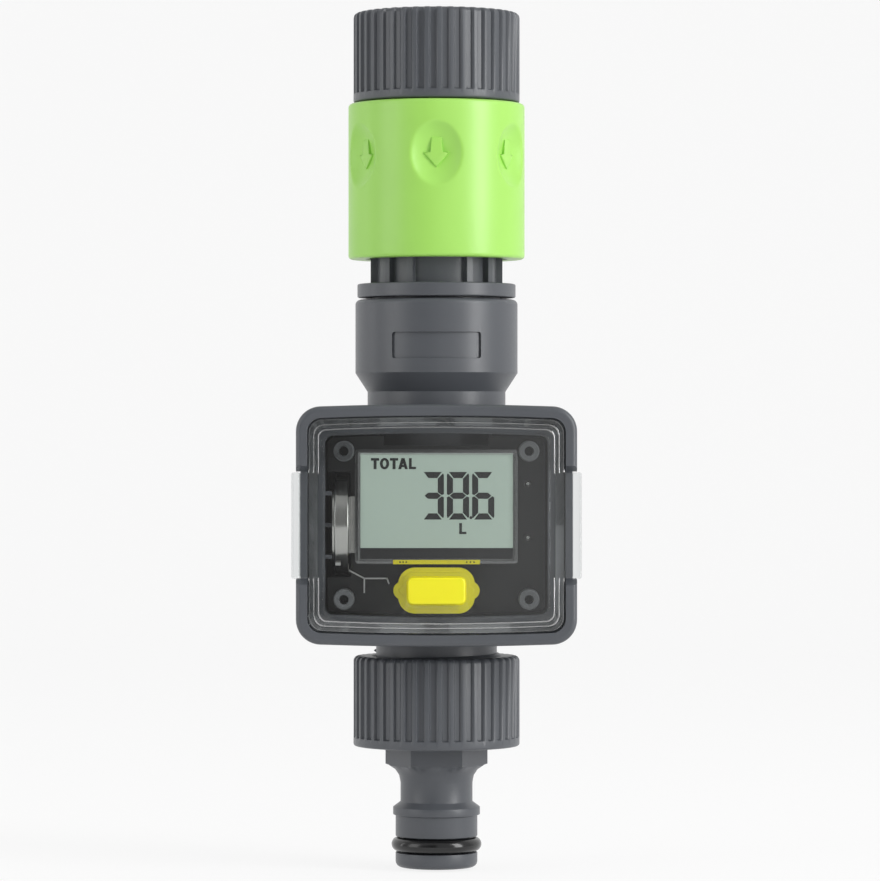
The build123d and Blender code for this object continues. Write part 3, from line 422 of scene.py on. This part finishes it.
for node in ("push_switch", "controller_chip"):
    nodes[node].data.materials.clear()
    nodes[node].data.materials.append(black_plastic)

# Reed switch: green-tinted glass with tinned leads, soldered through the board.
reed_glass = bpy.data.materials.new("green reed glass")
reed_glass.use_nodes = True
reed_surface = reed_glass.node_tree.nodes["Principled BSDF"]
reed_surface.inputs["Base Color"].default_value = linear("#B9BDB8")
reed_surface.inputs["Metallic"].default_value = 1.0
reed_surface.inputs["Roughness"].default_value = 0.25
nodes["reed_switch"].data.materials.clear()
nodes["reed_switch"].data.materials.append(reed_glass)

# Liquid crystal display: a glass panel behind a grey-green polariser, in a clear moulded frame, with a
# striped rubber connector behind its lower edge. The reading is dark segments in the panel.
panel = bpy.data.materials.new("grey-green polariser")
panel.use_nodes = True
panel_tree = panel.node_tree
panel_place = add_node(panel_tree, "ShaderNodeTexCoord").outputs["Object"]
panel_clouds = add_node(panel_tree, "ShaderNodeTexNoise", {"Vector": panel_place, "Scale": 60.0, "Detail": 2.0})
panel_tint = add_node(
    panel_tree, "ShaderNodeMix", {0: panel_clouds.outputs["Fac"], 6: linear("#CBDCCF"), 7: linear("#C6D8CB")},
    data_type="RGBA")
panel_surface = panel_tree.nodes["Principled BSDF"]
panel_tree.links.new(panel_tint.outputs[2], panel_surface.inputs["Base Color"])
panel_surface.inputs["Roughness"].default_value = 0.35
panel_surface.inputs["IOR"].default_value = 1.5
nodes["lcd_panel"].data.materials.clear()
nodes["lcd_panel"].data.materials.append(panel)


def clear_plastic(name, tint, roughness, mirrored):
    # Thin clear plastic: it tints what lies behind it once at each face, and mirrors more at a slant
    material = bpy.data.materials.new(name)
    material.use_nodes = True
    tree = material.node_tree
    tree.nodes.remove(tree.nodes["Principled BSDF"])
    slant = add_node(tree, "ShaderNodeLayerWeight", {"Blend": 0.5})
    rise = add_node(tree, "ShaderNodeMath", {0: slant.outputs["Facing"], 1: 5.0}, operation="POWER")
    gloss = add_node(
        tree, "ShaderNodeMath", {0: rise.outputs["Value"], 1: 1 - mirrored, 2: mirrored}, operation="MULTIPLY_ADD")
    through = add_node(tree, "ShaderNodeBsdfTransparent", {"Color": linear(tint)})
    place = add_node(tree, "ShaderNodeTexCoord").outputs["Object"]
    haze = add_node(tree, "ShaderNodeTexNoise", {"Vector": place, "Scale": 120.0, "Detail": 2.0})
    polish = add_node(
        tree, "ShaderNodeMapRange",
        {"Value": haze.outputs["Fac"], "To Min": roughness * 0.7, "To Max": roughness * 1.3})
    mirror = add_node(
        tree, "ShaderNodeBsdfAnisotropic", {"Color": (1, 1, 1, 1), "Roughness": polish.outputs["Result"]})
    mix = add_node(
        tree, "ShaderNodeMixShader",
        {0: gloss.outputs["Value"], 1: through.outputs["BSDF"], 2: mirror.outputs["BSDF"]})
    tree.links.new(mix.outputs["Shader"], tree.nodes["Material Output"].inputs["Surface"])
    return material


LCD_Z = -85.0
PANEL_FRONT = -20.6
PANEL_SIZE = (30.2, 21.3)
VIEW_LOW = (-14.71, -92.99)
VIEW_HIGH = (14.79, -74.62)
PRINT_DEPTH = 0.02
FRAME_SIZE = (31.6, 22.2)
FRAME_BACK = -14.2
FRAME_FRONT = -20.9
CAP_HEIGHT = 2.15
LETTER_STROKE = 0.5
WORD_TOP = -75.6
LITRE = (4.41, -88.15)
DIGIT_WIDTH = 4.3
DIGIT_HEIGHT = 9.2
DIGIT_FOOT = -87.48
DIGIT_PITCH = 4.875
FIRST_DIGIT = -2.87
SEGMENT = 1.19
POINT = (6.665, -87.11)
POINT_RADIUS = 0.3
SEGMENT_GAP = 0.11
LIT = {"3": "abgcd", "8": "abcdefg", "6": "afgecd"}


def plate(mesh, points, y, depth):
    # A thin flat plate that faces -Y, from its outline
    shape = [Vector(point) for point in points]
    back, front = [front_loop(mesh, shape, level, 0) for level in (y, y - depth)]
    mesh.faces.new(back)
    mesh.faces.new(front)
    skinned(mesh, [back, front])


def bar(mesh, start, end, width, y, depth):
    # A straight stroke between two points, with square ends
    start, end = Vector(start), Vector(end)
    side = (end - start).orthogonal().normalized() * width / 2
    plate(mesh, (start + side, end + side, end - side, start - side), y, depth)


def window_plate(mesh, outer, hole, y, depth):
    # A thin plate with a hole, from two loops of points
    loops = [[front_loop(mesh, [Vector(q) for q in points], level, 0) for points in (outer, hole)]
             for level in (y, y - depth)]
    for outer_loop, hole_loop in loops:
        skinned(mesh, [outer_loop, hole_loop])
    skinned(mesh, [loops[0][0], loops[1][0]])
    skinned(mesh, [loops[0][1], loops[1][1]])


def rounded_rectangle(width, height, corner, steps=6):
    # The outline of a rectangle with rounded corners
    points = []
    for quarter, (side_x, side_z) in enumerate(((1, 1), (-1, 1), (-1, -1), (1, -1))):
        for step in range(steps + 1):
            angle = math.pi / 2 * (quarter + step / steps)
            points.append(Vector((
                side_x * (width / 2 - corner) + corner * math.cos(angle),
                side_z * (height / 2 - corner) + corner * math.sin(angle))))
    return points


def box_points(low, high):
    # The corners of an upright rectangle
    return [(low[0], low[1]), (high[0], low[1]), (high[0], high[1]), (low[0], high[1])]


def segments():
    # The seven segments of a digit, mitred where they meet, from a to g
    w, h, t, g = DIGIT_WIDTH, DIGIT_HEIGHT, SEGMENT, SEGMENT_GAP
    top = [(0.3 + g, h), (w - 0.3 - g, h), (w - t - g, h - t), (t + g, h - t)]
    upper_left = [
        (0, h / 2 + 0.3), (0, h - 0.66), (0.09, h - 0.36), (0.22, h - 0.2 - g), (t, h - t - g),
        (t, h / 2 + t / 2 + g), (0.42, h / 2 + g)]
    middle = [
        (0.45 + g, h / 2), (t + g / 2, h / 2 + t / 2), (w - t - g / 2, h / 2 + t / 2), (w - 0.45 - g, h / 2),
        (w - t - g / 2, h / 2 - t / 2), (t + g / 2, h / 2 - t / 2)]
    right = [(w - x, z) for x, z in upper_left]
    return {
        "a": top, "b": right, "c": [(x, h - z) for x, z in right], "d": [(x, h - z) for x, z in top],
        "e": [(x, h - z) for x, z in upper_left], "f": upper_left, "g": middle}


reading = bmesh.new()
for place, digit in enumerate("386"):
    left = FIRST_DIGIT + place * DIGIT_PITCH
    for name in LIT[digit]:
        outline = [(left + x, DIGIT_FOOT + z) for x, z in segments()[name]]
        plate(reading, outline, PANEL_FRONT, PRINT_DEPTH)
point = [(POINT[0] + POINT_RADIUS * math.cos(math.pi * k / 8), POINT[1] + POINT_RADIUS * math.sin(math.pi * k / 8))
         for k in range(16)]
plate(reading, point, PANEL_FRONT, PRINT_DEPTH)
cap_low = WORD_TOP - CAP_HEIGHT
mid = LETTER_STROKE / 2
for centre in (-11.88, -8.21):
    bar(reading, (centre - 0.8, WORD_TOP - mid), (centre + 0.8, WORD_TOP - mid), LETTER_STROKE,
        PANEL_FRONT, PRINT_DEPTH)
    bar(reading, (centre, WORD_TOP - LETTER_STROKE), (centre, cap_low), 0.58, PANEL_FRONT, PRINT_DEPTH)
ring = [[(-10.05 + rx * math.cos(math.pi * k / 16), (WORD_TOP + cap_low) / 2 + rz * math.sin(math.pi * k / 16))
         for k in range(32)] for rx, rz in ((0.9, 1.12), (0.34, 0.62))]
window_plate(reading, ring[0], ring[1], PANEL_FRONT, PRINT_DEPTH)
for foot in (-7.12, -5.82):
    plate(reading, [(-6.78, WORD_TOP), (-6.16, WORD_TOP), (foot + 0.29, cap_low), (foot - 0.29, cap_low)],
          PANEL_FRONT, PRINT_DEPTH)
bar(reading, (-6.85, cap_low + 0.6), (-6.1, cap_low + 0.6), 0.4, PANEL_FRONT, PRINT_DEPTH)
for x, z, foot in ((-5.31, WORD_TOP, 1.36), (LITRE[0], LITRE[1], 1.37)):
    bar(reading, (x + mid, z), (x + mid, z - CAP_HEIGHT), 0.54, PANEL_FRONT, PRINT_DEPTH)
    bar(reading, (x + LETTER_STROKE, z - CAP_HEIGHT + 0.23), (x + foot, z - CAP_HEIGHT + 0.23), 0.46,
        PANEL_FRONT, PRINT_DEPTH)
dark_crystal = moulded_plastic("dark liquid crystal", "#0D0E0E", "#0A0B0B", roughness=0.5)
lcd_reading = finished("lcd_reading", reading, dark_crystal)
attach(lcd_reading, "meter")

mask_mesh = bmesh.new()
window_plate(
    mask_mesh, box_points((-PANEL_SIZE[0] / 2, LCD_Z - PANEL_SIZE[1] / 2), (PANEL_SIZE[0] / 2, LCD_Z + PANEL_SIZE[1] / 2)),
    box_points(VIEW_LOW, VIEW_HIGH), PANEL_FRONT, 2 * PRINT_DEPTH)
black_print = moulded_plastic("black screen print", "#1A1A1C", "#171719", roughness=0.4)
mask = finished("lcd_border", mask_mesh, black_print)
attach(mask, "meter")

frame_mesh = bmesh.new()
frame_rings = (
    (1.05, -20.66), (1.0, -20.84), (0.85, -20.9), (0.3, -20.9), (0.09, -20.82), (0.0, -20.6), (0.0, FRAME_BACK),
    (0.65, FRAME_BACK), (0.65, -20.66), (1.05, -20.66),
)
frame_loops = [
    front_loop(frame_mesh, rounded_rectangle(
        FRAME_SIZE[0] - 2 * inset, FRAME_SIZE[1] - 2 * inset, max(0.15, 0.7 - inset)), y, LCD_Z) for inset, y in frame_rings[:-1]]
skinned(frame_mesh, frame_loops + frame_loops[:1])
clear_frame = clear_plastic("clear acrylic", "#F2F3F2", 0.12, 0.2)
lcd_frame = finished("lcd_frame_moulding", frame_mesh, clear_frame)
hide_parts("lcd_frame")
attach(lcd_frame, "meter")
grey_silicone = moulded_rubber("striped silicone rubber", "#2A2A2B", 0.4, "#343435")
nodes["lcd_connector"].data.materials.clear()
nodes["lcd_connector"].data.materials.append(grey_silicone)

# Contacts on the board: a bent wire from the coin cell's rim with two legs, and the domes of solder over
# the reed switch's leads. Both are tinned.
BOARD_FACE = -14.2
WIRE_WIDTH = 0.28
WIRE_RUNS = (
    ((-19.3, -96.3), (-14.06, -99.07)), ((-14.06, -98.95), (-14.06, -101.92)), ((-14.2, -99.07), (-9.6, -99.07)),
    ((-9.68, -98.95), (-9.25, -100.15)),
)
SOLDER_X = 17.8
SOLDER_HEIGHTS = (-80.6, -91.1)
SOLDER_RADIUS = 0.55
SOLDER_DOME = 0.3
tinned = bpy.data.materials.new("tinned copper")
tinned.use_nodes = True
tinned_tree = tinned.node_tree
tinned_place = add_node(tinned_tree, "ShaderNodeTexCoord").outputs["Object"]
tinned_flow = add_node(tinned_tree, "ShaderNodeTexNoise", {"Vector": tinned_place, "Scale": 1500.0, "Detail": 2.0})
tinned_dull = add_node(
    tinned_tree, "ShaderNodeMapRange", {"Value": tinned_flow.outputs["Fac"], "To Min": 0.4, "To Max": 0.6})
tinned_surface = tinned_tree.nodes["Principled BSDF"]
tinned_tree.links.new(tinned_dull.outputs["Result"], tinned_surface.inputs["Roughness"])
tinned_surface.inputs["Base Color"].default_value = linear("#D6D6D4")
tinned_surface.inputs["Metallic"].default_value = 1.0
wire_mesh = bmesh.new()
for start, end in WIRE_RUNS:
    bar(wire_mesh, start, end, WIRE_WIDTH, BOARD_FACE, 0.2)
bar(wire_mesh, (-19.6, -96.15), (-18.6, -96.15), 0.6, BOARD_FACE, 3.6)
wire = finished("cell_contact_wire", wire_mesh, tinned)
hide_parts("negative_contact")
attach(wire, "meter")
solder_mesh = bmesh.new()
for height in SOLDER_HEIGHTS:
    dome = bmesh.ops.create_uvsphere(solder_mesh, u_segments=20, v_segments=10, radius=SOLDER_RADIUS * MM)["verts"]
    bmesh.ops.scale(solder_mesh, verts=dome, vec=(1, SOLDER_DOME / SOLDER_RADIUS, 1))
    bmesh.ops.translate(solder_mesh, verts=dome, vec=(SOLDER_X * MM, BOARD_FACE * MM, height * MM))
solder = finished("reed_solder", solder_mesh, tinned)
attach(solder, "meter")

# Reset button of yellow silicone: a key that comes through the window, on a flange that seals under it.
# A thin sheet of the yellow silicone, with six dark dots on it, lies on the front of the display frame's lower
# bar.
PIN_X = 6.7
PIN_Y = -21.0
PIN_RADIUS = 0.6
BUTTON_Z = -101.2
STRIP_LOW = (-8.41, -96.12)
STRIP_HIGH = (8.41, -95.28)
STRIP_FRONT = -20.9
DOT_RADIUS = 0.16
DOT_PLACES = (-7.05, -6.45, -5.85, 5.85, 6.55, 7.25)
yellow_silicone = moulded_plastic(
    "yellow silicone", "#FFF41E", "#FBEB18", roughness=0.34, Subsurface_Weight=0.1)
nodes["reset_button"].data.materials.clear()
nodes["reset_button"].data.materials.append(yellow_silicone)
pin_mesh = bmesh.new()
for x in (-PIN_X, PIN_X):
    pin = bmesh.ops.create_uvsphere(pin_mesh, u_segments=24, v_segments=12, radius=PIN_RADIUS * MM)["verts"]
    bmesh.ops.scale(pin_mesh, verts=pin, vec=(1, 0.7, 1))
    bmesh.ops.translate(pin_mesh, verts=pin, vec=(x * MM, PIN_Y * MM, BUTTON_Z * MM))
pins = finished("button_pins", pin_mesh, yellow_silicone)
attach(pins, "button")
# A thin yellow sheet on the front of the display frame's lower bar, with six dark dots on it
yellow_strip_mesh = bmesh.new()
plate(yellow_strip_mesh, box_points(STRIP_LOW, STRIP_HIGH), STRIP_FRONT, PRINT_DEPTH)
yellow_strip = finished("yellow_strip_on_frame", yellow_strip_mesh, yellow_silicone)
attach(yellow_strip, "meter")
dot_mesh = bmesh.new()
for x in DOT_PLACES:
    dot = bmesh.ops.create_circle(dot_mesh, cap_ends=True, segments=12, radius=DOT_RADIUS * MM)["verts"]
    bmesh.ops.rotate(dot_mesh, verts=dot, cent=(0, 0, 0), matrix=Matrix.Rotation(math.pi / 2, 3, "X"))
    bmesh.ops.translate(
        dot_mesh, verts=dot,
        vec=(x * MM, (STRIP_FRONT - 1.5 * PRINT_DEPTH) * MM, (STRIP_LOW[1] + STRIP_HIGH[1]) / 2 * MM))
dots = finished("yellow_strip_dots", dot_mesh, black_print)
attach(dots, "meter")

# Display window: smoked clear polycarbonate with a stepped rim, moulded with two snap ears and four hollow
# posts that hold the board. It is pressed over the case, on a bead of translucent silicone.
CASE_HALF_WIDTH = 27.15
EDGE_ROUND = 0.3
CASE_HALF_HEIGHT = 23.4
CASE_BOW = 0.57
CASE_Z = -88.6
WINDOW_RINGS = (
    (4.25, -23.2, 1.7, 0.3), (4.25, -22.35, 1.7, 0.15), (3.3, -22.35, 2.17, 0.3), (3.3, -21.5, 2.17, 0.15),
    (2.35, -21.5, 2.65, 0.3), (2.35, -19.8, 2.65, 0.12), (5.2, -19.8, 1.5, 0.12), (5.2, -21.6, 1.5, 0.2),
)
KEY_Z = -101.2
KEY_HOLE = (11.4, 5.5, 1.25)
EAR_INNER = 21.9
EAR_OUTER = 28.0
EAR_ARM = 26.4
EAR_HALF_HEIGHT = 10.2
EAR_BACK = -20.8
ARM_BACK = -12.5
POST_X = 17.9
POST_Z = 14.33
POST_RADIUS = 2.0
POST_HOLE = 0.9
WINDOW_ROOF = -21.6
BOARD_FRONT = -14.2


def case_outline(inset, corner, corner_steps=8, bow_steps=6):
    # The case's outline, bowed at top and foot, drawn in by an inset and rounded at its corners
    half_width = CASE_HALF_WIDTH - inset
    half_height = CASE_HALF_HEIGHT - inset
    bow_radius = (half_width ** 2 + CASE_BOW ** 2) / (2 * CASE_BOW)
    bow_middle = half_height - bow_radius
    corner_x = half_width - corner
    corner_z = bow_middle + math.sqrt((bow_radius - corner) ** 2 - corner_x ** 2)
    tangent = math.atan2(corner_z - bow_middle, corner_x)
    quarter = [Vector((half_width, 0))]
    for step in range(corner_steps + 1):
        angle = tangent * step / corner_steps
        quarter.append(Vector((corner_x + corner * math.cos(angle), corner_z + corner * math.sin(angle))))
    for step in range(1, bow_steps + 1):
        angle = tangent + (math.pi / 2 - tangent) * step / bow_steps
        quarter.append(Vector((bow_radius * math.cos(angle), bow_middle + bow_radius * math.sin(angle))))
    upper = quarter + [Vector((-p.x, p.y)) for p in reversed(quarter[:-1])]
    return upper + [Vector((p.x, -p.y)) for p in reversed(upper[1:-1])]


def lofted(mesh, rings, middle_z, outline):
    # Rings of (inset, y, corner, round), each rounded towards its neighbours. Wide rounds take slot 1.
    profile = []
    slots = []
    for index, (inset, y, corner, radius) in enumerate(rings):
        here = Vector((inset, y))
        if index in (0, len(rings) - 1):
            profile.append((inset, y, corner))
            slots.append(0)
            continue
        before = Vector(rings[index - 1][:2]) - here
        after = Vector(rings[index + 1][:2]) - here
        for share in (0.0, 0.25, 0.5, 0.75, 1.0):
            bend = (1 - share) ** 2 * before.normalized() + share ** 2 * after.normalized()
            point = here + bend * radius
            profile.append((point.x, point.y, corner))
            slots.append(1 if radius == EDGE_ROUND and share < 1.0 else 0)
    loops = [front_loop(mesh, outline(inset, corner), y, middle_z) for inset, y, corner in profile]
    skinned(mesh, loops, slots)
    return loops


def block(name, low, high, round_mm):
    # A block between two corners, with its edges rounded
    mesh = bmesh.new()
    bmesh.ops.create_cube(mesh, size=1.0)
    low, high = Vector(low) * MM, Vector(high) * MM
    for vert in mesh.verts:
        vert.co = Vector([(low[i] + high[i]) / 2 + vert.co[i] * (high[i] - low[i]) for i in range(3)])
    bmesh.ops.bevel(
        mesh, geom=mesh.edges[:], offset=round_mm * MM, segments=3, affect="EDGES", profile=0.5, material=-1)
    return mesh


def united(name, mesh, others, materials, sharp_deg=30):
    # One object from a mesh and others that overlap it
    base = finished(name, mesh, materials, sharp_deg)
    tools = [finished(name + "_part", other, materials, sharp_deg) for other in others]
    for tool in tools:
        step = base.modifiers.new("union", "BOOLEAN")
        step.operation = "UNION"
        step.solver = "EXACT"
        step.object = tool
    result = bpy.data.meshes.new_from_object(base.evaluated_get(bpy.context.evaluated_depsgraph_get()))
    base.modifiers.clear()
    base.data = result
    result.shade_smooth()
    result.set_sharp_from_angle(angle=math.radians(sharp_deg))
    flat = base.modifiers.new("flat faces", "WEIGHTED_NORMAL")
    flat.weight = 100
    flat.keep_sharp = True
    for tool in tools:
        bpy.data.objects.remove(tool)
    return base


window_mesh = bmesh.new()
front = [(4.55, -23.2, 1.7, 0.0)] + list(WINDOW_RINGS) + [(5.5, WINDOW_ROOF, 1.5, 0.0)]
loops = lofted(window_mesh, front, CASE_Z, case_outline)
key_profile = ((0.2, -23.2), (0.06, -23.14), (0.0, -23.0), (0.0, -21.75), (0.05, -21.65), (0.15, WINDOW_ROOF))
holes = [
    front_loop(window_mesh, rounded_rectangle(KEY_HOLE[0] + 2 * g, KEY_HOLE[1] + 2 * g, KEY_HOLE[2] + g), y, KEY_Z)
    for g, y in key_profile
]
skinned(window_mesh, holes)
capped(window_mesh, loops[0], holes[0])
capped(window_mesh, loops[-1], holes[-1])
extras = []
for side in (-1, 1):
    for inner, back in ((EAR_INNER, EAR_BACK), (EAR_ARM, ARM_BACK)):
        xs = sorted((side * inner, side * EAR_OUTER))
        extras.append(block(
            "ear", (xs[0], -23.2, CASE_Z - EAR_HALF_HEIGHT), (xs[1], back, CASE_Z + EAR_HALF_HEIGHT), 0.25))
smoked_edge = clear_plastic("polished polycarbonate edge", "#F5F6F6", 0.22, 0.35)
smoked = clear_plastic("smoked polycarbonate", "#F5F6F6", 0.06, 0.05)
window = united("display_window_moulding", window_mesh, extras, (smoked, smoked_edge))
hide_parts("display_window")
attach(window, "meter")
posts_mesh = bmesh.new()
for post_x in (-POST_X, POST_X):
    for post_z in (-POST_Z, POST_Z):
        section = (
            (POST_HOLE, WINDOW_ROOF), (POST_RADIUS - 0.2, WINDOW_ROOF), (POST_RADIUS, WINDOW_ROOF + 0.2),
            (POST_RADIUS, BOARD_FRONT), (POST_HOLE, BOARD_FRONT))
        axis = (post_x * MM, 0, (CASE_Z + post_z) * MM)
        rim = [posts_mesh.verts.new(((post_x + r) * MM, y * MM, (CASE_Z + post_z) * MM)) for r, y in section]
        edges = [posts_mesh.edges.new((v, w)) for v, w in zip(rim, rim[1:] + rim[:1])]
        bmesh.ops.spin(
            posts_mesh, geom=rim + edges, cent=axis, axis=(0, 1, 0), dvec=(0, 0, 0), angle=2 * math.pi,
            steps=36, use_merge=True)
frosted = moulded_plastic("frosted polycarbonate", "#6E7071", "#66686A", roughness=0.35)
posts = finished("window_posts", posts_mesh, frosted)
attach(posts, "meter")
silicone_bead = moulded_rubber("translucent silicone", "#8A8C8E", 0.4, "#9A9C9E")
nodes["window_gasket"].data.materials.clear()
nodes["window_gasket"].data.materials.append(silicone_bead)

# Floor, backdrop, soft lights and the camera at the photograph's viewing angle.
FLOOR_Z = -0.157
FLOOR_FRONT = -0.95
STUDIO_WIDTH = 4.0
WALL_Y = 1.4
WALL_BEND = 0.6
WALL_TOP = 2.4
white = bpy.data.materials.new("white studio paper")
white.use_nodes = True
white_tree = white.node_tree
white_surface = white_tree.nodes["Principled BSDF"]
white_surface.inputs["Base Color"].default_value = linear("#E4E4E4")
white_surface.inputs["Roughness"].default_value = 0.9
rays = add_node(white_tree, "ShaderNodeLightPath")
seen = add_node(
    white_tree, "ShaderNodeMath", {0: rays.outputs["Is Camera Ray"], 1: rays.outputs["Is Transmission Ray"]},
    operation="MAXIMUM")
seen_or_glossy = add_node(
    white_tree, "ShaderNodeMath", {0: seen.outputs["Value"], 1: rays.outputs["Is Glossy Ray"]},
    operation="MAXIMUM")
share = add_node(white_tree, "ShaderNodeMath", {0: seen_or_glossy.outputs["Value"], 1: 0.8}, operation="MULTIPLY")
glow = add_node(white_tree, "ShaderNodeEmission", {"Color": (1, 1, 1, 1), "Strength": 1.05})
white_mix = add_node(
    white_tree, "ShaderNodeMixShader",
    {0: share.outputs["Value"], 1: white_surface.outputs["BSDF"], 2: glow.outputs["Emission"]})
white_tree.links.new(white_mix.outputs["Shader"], white_tree.nodes["Material Output"].inputs["Surface"])
paper = bmesh.new()
sweep = [Vector((FLOOR_FRONT, FLOOR_Z)), Vector((WALL_Y - WALL_BEND, FLOOR_Z))]
for step in range(1, 17):
    angle = math.pi / 2 * step / 16
    sweep.append(Vector((
        WALL_Y - WALL_BEND + WALL_BEND * math.sin(angle), FLOOR_Z + WALL_BEND * (1 - math.cos(angle)))))
sweep.append(Vector((WALL_Y, WALL_TOP)))
line = [paper.verts.new((-STUDIO_WIDTH, p.x, p.y)) for p in sweep]
bends = [paper.edges.new((v, w)) for v, w in zip(line, line[1:])]
wide = bmesh.ops.extrude_edge_only(paper, edges=bends)["geom"]
bmesh.ops.translate(
    paper, verts=[v for v in wide if isinstance(v, bmesh.types.BMVert)], vec=(2 * STUDIO_WIDTH, 0, 0))
backdrop = finished("studio_paper", paper, white)

world = bpy.data.worlds.new("studio")
bpy.context.scene.world = world
world.use_nodes = True
world_tree = world.node_tree
toward = add_node(
    world_tree, "ShaderNodeSeparateXYZ",
    {"Vector": add_node(world_tree, "ShaderNodeTexCoord").outputs["Generated"]})
around = add_node(
    world_tree, "ShaderNodeMapRange",
    {"Value": toward.outputs["Y"], "From Min": -0.98, "From Max": -0.6, "To Min": 0.1, "To Max": 0.6},
    interpolation_type="SMOOTHSTEP")
right = add_node(
    world_tree, "ShaderNodeMapRange",
    {"Value": toward.outputs["X"], "From Min": -0.045, "From Max": 0.05, "To Min": 0.1, "To Max": 0.65},
    interpolation_type="SMOOTHSTEP")
studio = add_node(
    world_tree, "ShaderNodeMath", {0: around.outputs["Result"], 1: right.outputs["Result"]}, operation="MAXIMUM")
world_rays = add_node(world_tree, "ShaderNodeLightPath")
shown = add_node(
    world_tree, "ShaderNodeMix",
    {0: world_rays.outputs["Is Camera Ray"], 2: studio.outputs["Value"], 3: 1.0}, data_type="FLOAT")
world_tree.nodes["Background"].inputs["Color"].default_value = (1, 1, 1, 1)
world_tree.links.new(shown.outputs[0], world_tree.nodes["Background"].inputs["Strength"])


def soft_light(name, azimuth, height, distance, width, tall, power):
    # A soft box at an angle from the camera's side, right of it where positive, turned to the object
    turn = math.radians(azimuth)
    lamp = bpy.data.lights.new(name, "AREA")
    lamp.shape = "RECTANGLE"
    lamp.size = width
    lamp.size_y = tall
    lamp.energy = power
    box = bpy.data.objects.new(name, lamp)
    box.location = (distance * math.sin(turn), -distance * math.cos(turn), height)
    box.rotation_mode = "QUATERNION"
    box.rotation_quaternion = (Vector((0, 0, -0.08)) - box.location).to_track_quat("-Z", "Y")
    bpy.context.scene.collection.objects.link(box)


soft_light("key", 59, 0.12, 0.8, 0.3, 0.9, 5.6)
soft_light("fill", -62, 0.05, 0.8, 0.4, 0.8, 1.7)
soft_light("rim", -102, -0.05, 0.8, 0.07, 0.8, 0.4)

CAMERA_DISTANCE = 0.87
CAMERA_HEIGHT = -0.07075
PIXELS_PER_MM = 5.05
FRAME_PIXELS = 881
SENSOR = 36.0
camera_data = bpy.data.cameras.new("camera")
camera_data.sensor_width = SENSOR
camera_data.lens = SENSOR * CAMERA_DISTANCE * 1000 * PIXELS_PER_MM / FRAME_PIXELS
camera_data.shift_x = (440.0 - 436.5) / FRAME_PIXELS
camera_data.shift_y = (433.0 - 440.5) / FRAME_PIXELS
camera = bpy.data.objects.new("camera", camera_data)
camera.location = (0, -CAMERA_DISTANCE, CAMERA_HEIGHT)
camera.rotation_euler = (math.pi / 2, 0, 0)
bpy.context.scene.collection.objects.link(camera)
bpy.context.scene.camera = camera
bpy.context.scene.view_settings.view_transform = "Standard"
